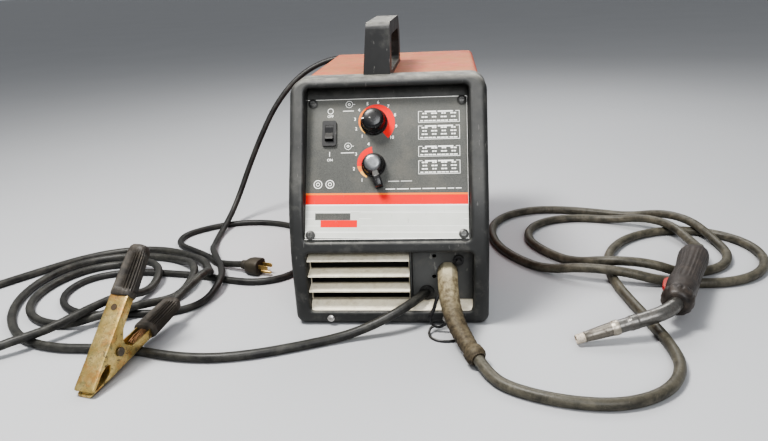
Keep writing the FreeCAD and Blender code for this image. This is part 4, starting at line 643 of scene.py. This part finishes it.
def turned(ang, cx, cy):
    c, s = math.cos(math.radians(ang)), math.sin(math.radians(ang))
    return lambda x, y, z: panel(cx + x * c - y * s, cy + x * s + y * c, z)

prof = [(15.9, 0.9), (16.9, 1.3), (17.0, 3.4), (16.2, 4.6), (15.3, 5.2), (15.2, 6.0), (14.9, 10), (14.5, 14), (14.0, 16.4), (13.2, 18.0), (11.6, 19.4), (9.0, 20.3), (5.0, 20.75), (1.0, 20.8)]
add("speed_knob_body", *place(lathe(prof, 30, 0.55, (5.5, 16.5)), turned(0, *SPD)), "gloss", "speed_control", node="speed_knob", flat_angle=50)
pt = [(-15.75, -0.9, 4.6), (-15.75, 0.9, 4.6), (-14.3, 0.8, 16.2), (-13.5, 0.75, 18.05), (-11.5, 0.65, 19.62), (-2.5, 0.35, 20.98), (-2.5, -0.35, 20.98), (-11.5, -0.65, 19.62), (-13.5, -0.75, 18.05), (-14.3, -0.8, 16.2)]
add("speed_knob_line", [turned(0, *SPD)(x, y, z) for x, y, z in pt], [(0, 1, 2, 9), (9, 2, 3, 8), (8, 3, 4, 7), (7, 4, 5, 6)], "print_white", "speed_control", smooth=False)
prof = [(14.2, 0.9), (14.9, 1.3), (15.0, 3.0), (14.4, 4.2), (13.4, 4.8), (13.2, 8), (12.9, 12), (12.3, 14.2), (11.2, 15.8), (10.4, 16.3)]
parts = [place(lathe(prof, 24, 0.45, (5, 12.5)), turned(0, *VLT))]
v, f = merge(parts)
add("voltage_knob_body", v, f, "gloss", "voltage_control", node="voltage_knob", flat_angle=45)
PA = -75
def pointer(xs):
    out = []
    for x, hw_, z0, zt in xs:
        out.append([(x, -hw_, z0), (x, -hw_, zt - 1.2), (x, -hw_ * 0.80, zt - 0.25), (x, -hw_ * 0.5, zt), (x, hw_ * 0.5, zt), (x, hw_ * 0.80, zt - 0.25), (x, hw_, zt - 1.2), (x, hw_, z0)])
    return out
# ridge of the pointer in the grey painted-highlight material, the lit part of the pointer
add("voltage_pointer_ridge", *place(rings(pointer([(6.0, 3.4, 4, 16.8), (10.0, 3.6, 4, 16.4), (14.0, 3.9, 4, 15.0), (17.2, 4.1, 4, 13.6)])), turned(PA, *VLT)), "pointer_grey", "voltage_control", flat_angle=40)
add("voltage_pointer_end", *place(rings(pointer([(14.6, 3.6, 1.4, 12.2), (15.4, 4.4, 1.2, 13.4), (17.0, 4.7, 1.1, 14.0), (28.6, 4.8, 1.1, 14.0), (30.0, 4.5, 1.1, 13.2), (30.4, 3.9, 1.3, 12.0)])), turned(PA, *VLT)), "gloss", "voltage_control", flat_angle=40)
cap_ = [(10.0, 14.6), (10.6, 15.2), (10.7, 16.0), (10.3, 16.9), (9.2, 17.8), (7.6, 18.45), (5.5, 18.75), (2.5, 18.8), (0.3, 18.8)]
add("voltage_knob_cap", *place(lathe(cap_), turned(0, *VLT)), "knob_cap", "voltage_control", flat_angle=50)

# ------------------------------------------------------------------ long boot of the gun cable
bp, bl_ = smooth_path([(72.5, -180, 67), (72.5, -200, 67.3), (73.2, -222, 61.5), (76, -240, 45.5), (82.5, -259, 31), (91.5, -279, 21.5), (99, -296, 16.5), (106.4, -311.6, 13.6)], 84)
tab = [(0, 12.2), (9, 12.3), (24, 12.9), (40, 12.8), (62, 12.2), (85, 11.6), (110, 10.8), (bl_ - 17, 9.9), (bl_ - 15.5, 11.6), (bl_ - 9, 12.1), (bl_ - 4, 11.9), (bl_ - 3, 9.6), (bl_, 8.6)]
def boot_sec(i, t):
    s = t * bl_
    r, = interp(tab, s)
    r += 0.28 * math.sin(s * 0.9) * (1 if 50 < s < bl_ - 18 else 0)
    fac = max(0.0, min(1.0, (62 - s) / 26))
    out = []
    for k in range(48):
        a = 2 * math.pi * k / 48
        oc = math.cos(math.pi / 8) / math.cos((a + math.pi / 8) % (math.pi / 4) - math.pi / 8)
        rr = r * (1 + (oc * 1.04 - 1) * fac)
        out.append((rr * math.cos(a), rr * math.sin(a)))
    return out
secs = sweep([p / 1000 for p in bp], lambda i, t: [(x / 1000, y / 1000) for x, y in boot_sec(i, t)])
add("boot_body", *rings(secs), "boot", node="gun_boot", flat_angle=40)

# small loop of tie strap hanging by the boot
loop, ll = smooth_path([(70, -204, 50), (65.5, -208, 52), (59.5, -214, 43), (55.0, -219, 30), (50.8, -222, 21), (51.2, -223, 13), (57.0, -224, 8.0), (63.5, -225, 8.5), (70.0, -226, 14), (76.0, -225, 22)], 84)
secs = sweep([p / 1000 for p in loop], lambda i, t: [(x / 1000, y / 1000) for x, y in superell(2.5, 1.5, 2.6, 14)])
add("boot_tie_strap", *rings(secs), "gloss")
loop, ll = smooth_path([(56.0, -224, 8.4), (51.0, -226, 7.0), (49.0, -232, 3.6), (50.5, -240, 2.0), (57.0, -247, 1.7), (66.0, -250, 1.7), (76.0, -250, 1.9), (84.0, -247, 2.6)], 60)
secs = sweep([p / 1000 for p in loop], lambda i, t: [(x / 1000, y / 1000) for x, y in superell(1.5, 1.5, 2.2, 12)])
add("boot_tie_tail", *rings(secs), "gloss")

# ------------------------------------------------------------------ gun
def gun_outline(x):
    # centre offset, half width (trigger plane), half height
    t = [(0, 0.2, 16.1, 16.2), (6, 0.4, 17.2, 16.7), (21, 0.4, 18.7, 16.9), (40, 0.5, 19.0, 16.9), (63, -0.3, 17.8, 16.6), (90, -0.4, 18.0, 16.6), (114, 0.1, 19.3, 16.9), (133, 0.4, 20.2, 16.9), (145, 0.2, 18.6, 16.2), (GL - 3, 0.0, 13.6, 13.2), (GL, 0.0, 10.4, 10.0)]
    return interp(t, x)
def smoothed(x):
    a = [0.0, 0.0, 0.0]
    for d in (-4, -2, 0, 2, 4):
        q = gun_outline(max(0, min(GL, x + d)))
        a = [u + v / 5 for u, v in zip(a, q)]
    return a
secs = []
xs = [0, 0.8, 2.0] + [3 + k * 1.5 for k in range(int((GL - 6) / 1.5))] + [GL - 2.2, GL - 0.9, GL]
for x in xs:
    c, w_, h_ = smoothed(x) if 4 < x < GL - 8 else gun_outline(x)
    end = 1 - 0.10 * max(0, 1 - x / 2.0) ** 2
    s = []
    for k, (a, b) in enumerate(superell(w_ * end, h_ * end, 2.5, 120)):
        ang = 2 * math.pi * k / 120
        rib = 0.0
        if 28 < x < 140:
            fade = min(1, (x - 28) / 8, (140 - x) / 8)
            rib = 0.70 * fade * (0.5 + 0.5 * math.cos(26 * ang))
        seam = 0.35 * math.exp(-((min(ang, abs(ang - math.pi), 2 * math.pi - ang)) / 0.02) ** 2)
        l = math.hypot(a, b)
        k_ = (l - rib - seam) / l
        s.append(gun(x, c + a * k_, b * k_))
    secs.append(s)
add("gun_handle_shell", *rings(secs), "gun_body", node=["gun_handle_left", "gun_handle_right"], flat_angle=60)

# rear bend guard where the cable enters
secs = []
gtail = Vector((440, -22, 29)) - Vector((420, -60, 35))
gp = [GR - G1 * 4, GR, GR + gtail.normalized() * 6, GR + gtail.normalized() * 13]
gpath, gl_ = smooth_path(gp, 26)
def guard(i, t):
    r = 9.6 - 1.6 * t - (0.7 if (i % 5 == 4 and 2 < i < 25) else 0)
    return [(x / 1000, y / 1000) for x, y in circle(r, 28)]
secs = sweep([p / 1000 for p in gpath], guard)
add("gun_tail_guard", *rings(secs), "gun_body", flat_angle=50)

# trigger
secs = []
for x, yin, yout, hh in ((10.4, 15.8, 18.8, 3.6), (14, 12.2, 20.2, 3.9), (20, 11.4, 22.6, 4.05), (28, 11.0, 24.0, 4.1), (36, 10.8, 24.4, 4.1), (42, 10.6, 24.0, 4.05), (46, 11.7, 22.0, 3.9), (49, 14.4, 19.0, 3.6)):
    c, w_ = (yin + yout) / 2, (yout - yin) / 2
    s = []
    for a, b in superell(w_, hh, 4, 36):
        dip = 0.5 * (0.5 + 0.5 * math.cos(x * 1.1)) if a > 0.7 * w_ and 20 < x < 46 else 0
        s.append(gun(x, c + a - dip, b))
    secs.append(s)
add("gun_trigger_body", *rings(secs), "trigger", "trigger", node="gun_trigger", flat_angle=40)

# neck nut with wide flutes
secs = []
for x, r, fl in ((-21.6, 12.0, 0), (-21.2, 14.0, 0), (-17.5, 17.0, 0), (-14.6, 18.4, 0.3), (-13.2, 19.1, 1), (-12.2, 19.5, 1), (-4.0, 19.5, 1), (-2.2, 19.0, 1), (-0.8, 17.9, 0.3), (-0.4, 16.4, 0)):
    s = []
    for k in range(120):
        a = 2 * math.pi * k / 120
        rr = r - fl * 0.9 * (0.5 + 0.5 * math.cos(14 * a)) ** 3
        s.append(gun(x, rr * math.cos(a), rr * math.sin(a)))
    secs.append(s)
add("gun_nut_body", *rings(secs), "gun_body", node="gun_neck_nut", flat_angle=45)

# gooseneck, nozzle and tip on the CAD's own line
N1 = GF - G1 * 40.0
N2 = Vector((223, -256, 8.0))
ND = (N2 - N1).normalized()
N3 = N2 - ND * 52.0
ub_ = ND
ua_ = -G1
th = math.acos(max(-1, min(1, ua_.dot(ub_))))
tt = 26.0
rr_ = tt / math.tan(th / 2)
p_, q_ = N1 + G1 * tt, N1 + ND * tt
nn = (ub_ - ua_ * math.cos(th)).normalized()
cc_ = p_ + nn * rr_
neck = [GF + G1 * 10, GF, p_ * 0.5 + GF * 0.5]
for k in range(13):
    a = th * k / 12
    neck.append(cc_ + (-nn * math.cos(a) + ua_ * math.sin(a)) * rr_)
for k in range(1, 9):
    neck.append(q_.lerp(N3, k / 8))
npath, nl = smooth_path(neck, 90)
def neck_sec(i, t):
    s = t * nl
    r = 9.15 - 0.8 * max(0, (s - 30) / (nl - 30))
    if nl - 24 < s < nl - 14:
        r = 9.0
    if nl - 12 < s:
        r = 8.1
    if 34 < s < 38:
        r -= 0.4
    return [(x / 1000, y / 1000) for x, y in circle(r, 40)]
add("gooseneck_tube", *rings(sweep([p / 1000 for p in npath], neck_sec)), "neck", node="gooseneck", flat_angle=40)
nu = ND.cross(Vector((0, 0, 1))).normalized()
nv = ND.cross(nu)
def along(profile, n=48, wob=0.0):
    secs = []
    for j, (s, r) in enumerate(profile):
        secs.append([(N3 + ND * s + (nu * math.cos(2 * math.pi * k / n) + nv * math.sin(2 * math.pi * k / n)) * (r + wob * math.sin(7.3 * k + 3.1 * j))) / 1000 for k in range(n)])
    return rings(secs)
add("nozzle_body", *along([(-0.5, 5.0), (-0.5, 8.5), (0.2, 8.9), (5.6, 8.95), (6.2, 8.5), (7.2, 8.25), (12, 8.1), (30, 7.0), (39.5, 6.3), (40.2, 6.6), (41.0, 6.65), (41.6, 6.0), (41.6, 3.0)]), "nozzle", node="nozzle", flat_angle=35)
add("nozzle_band", *along([(-0.4, 6.0), (-0.4, 8.9), (0.1, 9.05), (5.7, 9.08), (6.8, 8.65), (8.6, 8.4), (8.8, 6.0)]), "nozzle_band", flat_angle=35)
add("nozzle_end", *along([(41.4, 4.0), (41.4, 5.9), (44, 6.0), (48, 5.8), (51.2, 5.9), (52.0, 5.4), (51.8, 4.6), (46, 4.5), (45, 1.0)], wob=0.16), "tip", flat_angle=35)
add("contact_tip_body", *along([(30, 1.0), (30, 3.6), (45, 3.2), (47.4, 2.6), (47.8, 1.1), (46.5, 0.7)]), "copper", node="contact_tip", flat_angle=35)

# ------------------------------------------------------------------ work clamp
def fluted_grip(name, fn, body, node, y0, y1, w0, w1, z0, z1, side=1):
    """Ribbed sleeve over an arm: cross-section across (x, z), running along y."""
    secs = []
    n = 132
    ys = [y0, y0 + 0.4, y0 + 1.6, y0 + 4.5, y0 + 6] + [y0 + 8 + k * (y1 - y0 - 18) / 26 for k in range(27)] + [y1 - 8, y1 - 5, y1 - 2.5, y1 - 0.8, y1]
    for y in ys:
        t = (y - y0) / (y1 - y0)
        w_ = w0 + (w1 - w0) * t + 0.5 * math.sin(math.pi * min(1, t * 1.1))
        zc, hh = (z0 + z1) / 2, (z1 - z0) / 2
        hh *= 1 - 0.06 * t
        d0, d1 = y - y0, y1 - y
        sh = 1.0
        if d0 < 4.5:
            sh = 0.90 + 0.10 * math.sqrt(max(0, 1 - (1 - d0 / 4.5) ** 2))
        if d1 < 8:
            sh = 0.55 + 0.45 * math.sqrt(max(0, 1 - (1 - d1 / 8) ** 2))
        fade = max(0, min(1, (d0 - 6) / 3, (d1 - 9) / 4))
        s = []
        for k, (a, b) in enumerate(superell(w_ * sh, hh * sh, 2.9, n)):
            ang = math.atan2(b / hh, a / w_)
            rib = fade * 2.1 * (0.5 + 0.5 * math.cos(26 * ang)) ** 0.8
            l = math.hypot(a, b)
            q = (l - rib) / l
            s.append(fn(a * q, y, zc + b * q))
        secs.append(s)
    return add(name, *rings(secs), "grip", body, node=node, flat_angle=60)

fluted_grip("clamp_lower_sleeve", low, "machine", "clamp_lower_grip", 112, 178, 14.9, 12.4, -3.2, 16.5)
fluted_grip("clamp_upper_sleeve", upp, "clamp_jaw", "clamp_upper_grip", 113, 179, 15.1, 12.2, -3.2, 17.4)

def channel(fn, w_tip, w, th, length, flange, jaw, teeth=5):
    """Stamped channel arm: wide flat web with rolled edges and side flanges, narrowed at the tip."""
    secs = []
    ys = [0, 1.2, 3, 6, 9, 12, 16, 20, 24, 27, 30, 33, 36, 39, 42, 45, 48, 51, 54, 57, 60, 63, 66, 70, 74, 78, 83, 90, 98, 106, 113.9, 118, 128, length - 6]
    for y in ys:
        hw = w_tip + (w - w_tip) * min(1, max(0, (y - 4) / 30))
        if y > 114:
            hw -= 2.4
        if y < 3:
            hw *= 0.86 + 0.14 * math.sqrt(max(0, 1 - (1 - y / 3) ** 2))
        f, = interp(flange, y)
        crown = 0.9 * min(1, y / 12) * (1 if y < 112 else 0.5)
        rr = 1.6
        outer, inner = [], []
        for k in range(13):
            u = -1 + 2 * k / 12
            outer.append((u * (hw - rr), 0.0 + 0.0))
        o = [(-hw, f), (-hw, max(rr, f * 0.5)), (-hw, rr), (-hw + rr * 0.3, rr * 0.3), (-hw + rr, 0)]
        for k in range(1, 8):
            u = -1 + 2 * k / 8
            o.append((u * (hw - rr), -0.35 * crown * (1 - u * u)))
        o += [(hw - rr, 0), (hw - rr * 0.3, rr * 0.3), (hw, rr), (hw, max(rr, f * 0.5)), (hw, f)]
        i_ = [(x * (hw - th) / hw, max(z, th + (z if z < th else 0) * 0)) for x, z in reversed(o)]
        i_ = [(x, f if k in (0, len(i_) - 1) else z) for k, (x, z) in enumerate(i_)]
        secs.append([fn(x, y, z) for x, z in o + i_])
    return rings(secs)

FL_LOW = [(0, 3.4), (10, 3.2), (22, 4.0), (30, 6.5), (35, 9), (41, 23), (46, 30.5), (50, 32.4), (54, 33), (58, 32.4), (62, 30.5), (67, 23), (78, 12.5), (100, 11.5), (200, 11)]
PU = (PV[0] * math.cos(SPREAD) + (PV[1] - 8) * math.sin(SPREAD), PV[0] * math.sin(SPREAD) - (PV[1] - 8) * math.cos(SPREAD))
FL_UP = [(0, 3.4), (10, 3.2), (22, 4.0), (30, 6.5), (33.5, 9), (39.5, 20), (44.5, 27), (48.5, 29.0), (52.5, 29.6), (56.5, 29.0), (60.5, 27), (65.5, 19.6), (76.5, 12.5), (100, 11.5), (200, 11)]
add("clamp_lower_channel", *channel(low, 9.4, 10.4, 1.8, 150, FL_LOW, 3.4), "clamp", "machine", node="clamp_lower_arm", flat_angle=32)
arm_u = add("clamp_upper_channel", *channel(upp, 13.2, 12.8, 1.9, 140, FL_UP, 3.4), "clamp", "clamp_jaw", node="clamp_upper_arm", flat_angle=32)

def teeth(fn, hw):
    parts = []
    for k in range(4):
        y = 1.4 + 2.5 * k
        v = [fn(-hw, y, 1.6), fn(hw, y, 1.6), fn(hw, y + 2.3, 1.6), fn(-hw, y + 2.3, 1.6), fn(-hw, y + 1.15, 4.3), fn(hw, y + 1.15, 4.3)]
        parts.append((v, [(0, 1, 5, 4), (1, 2, 5), (2, 3, 4, 5), (3, 0, 4), (3, 2, 1, 0)]))
    return merge(parts)
add("clamp_lower_teeth", *teeth(low, 7.6), "clamp", "machine", smooth=False)
add("clamp_upper_teeth", *teeth(upp, 10.6), "clamp", "clamp_jaw", smooth=False)
def lip(fn, hw, zt):
    """Turned-down front edge of an arm, rounded where it leaves the web."""
    secs = []
    for x in (-hw, -hw + 0.7, hw - 0.7, hw):
        q = 0.5 if abs(abs(x) - hw) < 0.01 else 0.0
        secs.append([fn(x, y, z) for y, z in ((0.25 + q, 0.9 + q), (0.05 + q, 1.6), (0.0 + q, zt - 0.6), (0.5 + q, zt - q), (1.7, zt - q), (1.9, zt - 0.5), (1.9, 1.2), (1.4, 0.7 + q))])
    return rings(secs)
add("clamp_lower_lip", *lip(low, 8.0, 3.5), "clamp", "machine", flat_angle=40)
add("clamp_upper_lip", *lip(upp, 11.6, 4.2), "clamp", "clamp_jaw", flat_angle=40)

# painted shade: a dark plug through the upper arm near the sleeve, standing in for the shade inside a round hole
secs = []
for r, z in ((3.9, -0.55), (3.9, -0.75), (3.0, -0.75), (3.0, 1.2), (0.2, 1.3)):
    secs.append([upp(r * math.cos(2 * math.pi * k / 32), 98 + r * math.sin(2 * math.pi * k / 32), z) for k in range(32)])
add("clamp_arm_hole_shade", *rings(secs), "spring", "clamp_jaw", flat_angle=30)

# torsion spring: coil round the pivot with a leg on each arm
pts = [(-8.5, PV[0] + 30, 3.2), (-8.4, PV[0] + 16, 8.4), (-8.3, PV[0] + 5.2, PV[1] - 5.6)]
turns = 5
for k in range(turns * 18 + 1):
    a = -math.pi * 0.22 + 2 * math.pi * k / 18
    x = -8.2 + 15.2 * k / (turns * 18)
    pts.append((x, PV[0] + 5.9 * math.cos(a), PV[1] + 5.9 * math.sin(a)))
wire = [low(x, y, z) for x, y, z in pts]
secs = sweep(wire, lambda i, t: [(x / 1000, y / 1000) for x, y in circle(1.35, 12)], up=CB)
add("clamp_coil_spring", *rings(secs), "spring", "machine", node="clamp_spring")
lpts, ll_ = smooth_path([(-7.0, PU[0] - 3.0, PU[1] - 5.2), (-7.2, PU[0] + 4, PU[1] - 6.6), (-7.4, PU[0] + 14, 7.6), (-7.4, PU[0] + 24, 3.6), (-7.4, PU[0] + 30, 3.4)], 24)
secs = sweep([upp(*q) for q in lpts], lambda i, t: [(x / 1000, y / 1000) for x, y in circle(1.35, 12)], up=CB)
add("clamp_spring_leg", *rings(secs), "spring", "clamp_jaw")
# frayed copper strands of the cable spread over the lower arm
for k in range(9):
    x0 = -6.4 + 1.6 * k
    st, _ = smooth_path([(x0 * 0.5, 116, 9.0), (x0 * 0.7, 106, 9.5 + 0.8 * math.sin(2.3 * k)), (x0 * 0.95, 97, 8.0 + 1.6 * math.sin(1.7 * k)), (x0, 89 + 2.5 * math.sin(3.1 * k), 5.0 + 1.4 * math.cos(2.9 * k))], 18)
    secs = sweep([low(*q) for q in st], lambda i, t: [(x / 1000, y / 1000) for x, y in circle(0.85, 8)], up=CB)
    add("clamp_strand_%d" % k, *rings(secs), "strand", "machine")

# ------------------------------------------------------------------ plug
PD = Vector((0.95, -0.31, 0)).normalized()
PS = Vector((0, 0, 1)).cross(PD).normalized()
plug = frame_fn((-246, -33.5, 12.5), PD, PS, (0, 0, 1))
secs = []
for x, w_, h_, e in ((0.0, 5.4, 5.4, 2.1), (0.5, 6.4, 6.4, 2.1), (3, 7.0, 7.0, 2.1), (4.2, 6.2, 6.2, 2.1), (6, 7.6, 7.4, 2.2), (7.2, 6.9, 6.8, 2.2), (9.5, 9.4, 8.8, 2.4), (13, 12.0, 10.8, 2.8), (18, 13.4, 11.8, 3.2), (24, 13.4, 12.0, 3.4), (29, 13.8, 12.2, 3.4), (32.5, 13.9, 12.2, 3.4), (33.7, 13.4, 11.8, 3.4), (34, 12.4, 11.0, 3.4)):
    secs.append([plug(x, a, b) for a, b in superell(w_, h_, e, 56)])
plug_body = add("plug_shell", *rings(secs), "plug", node="plug_body", flat_angle=45)
parts = []
for yc in (-6.35, 6.35):
    s = []
    for x, k in ((33.6, 1.0), (48.5, 1.0), (50.3, 0.72)):
        s.append([plug(x, yc + a, 2.2 + b * k) for a, b in superell(0.75, 3.2, 5, 20)])
    parts.append(rings(s))
s = []
for x, r in ((33.6, 2.4), (49.5, 2.4), (51.6, 1.7), (52.3, 0.6)):
    s.append([plug(x, a, -7.0 + b) for a, b in circle(r, 24)])
parts.append(rings(s))
v, f = merge(parts)
plug_blades = add("plug_pins", v, f, "blade", node="plug_blades", flat_angle=40)

# ------------------------------------------------------------------ floor, light
fm = Mat("floor_plain")
MT["floor"] = fm.set(fm.mix(fm.noise(2.2, 3, 0.5), (0.415, 0.42, 0.428), (0.445, 0.45, 0.458)), 0.85, 0.0, Specular_IOR_Level=0.2)
me = bpy.data.meshes.new("floor")
me.from_pydata([(-60, -60, 0), (60, -60, 0), (60, 90, 0), (-60, 90, 0)], [], [(0, 1, 2, 3)])
floor = bpy.data.objects.new("floor", me)
bpy.context.scene.collection.objects.link(floor)
me.materials.append(MT["floor"])

w = bpy.data.worlds.new("studio") if not bpy.context.scene.world else bpy.context.scene.world
bpy.context.scene.world = w
w.use_nodes = True
w.node_tree.nodes["Background"].inputs[0].default_value = (0.80, 0.82, 0.85, 1)
w.node_tree.nodes["Background"].inputs[1].default_value = 0.42

def area(name, loc, target, size, power, col=(1, 1, 1)):
    l = bpy.data.lights.new(name, "AREA")
    l.shape = "SQUARE"
    l.size = size
    l.energy = power
    l.color = col
    o = bpy.data.objects.new(name, l)
    bpy.context.scene.collection.objects.link(o)
    d = Vector(target) - Vector(loc)
    o.location = loc
    o.rotation_euler = d.to_track_quat("-Z", "Y").to_euler()
    return o
area("key", (-0.60, -0.45, 1.75), (0.05, -0.15, 0.1), 0.50, 40, (1, 0.985, 0.96))
area("fill", (0.5, -1.9, 1.3), (0.0, -0.1, 0.1), 1.2, 24, (0.97, 0.98, 1))
area("rim", (0.3, 1.2, 1.5), (0.0, 0.0, 0.2), 1.0, 14, (1, 1, 1))
bpy.context.scene.view_settings.view_transform = "AgX"
bpy.context.scene.view_settings.look = "AgX - High Contrast"
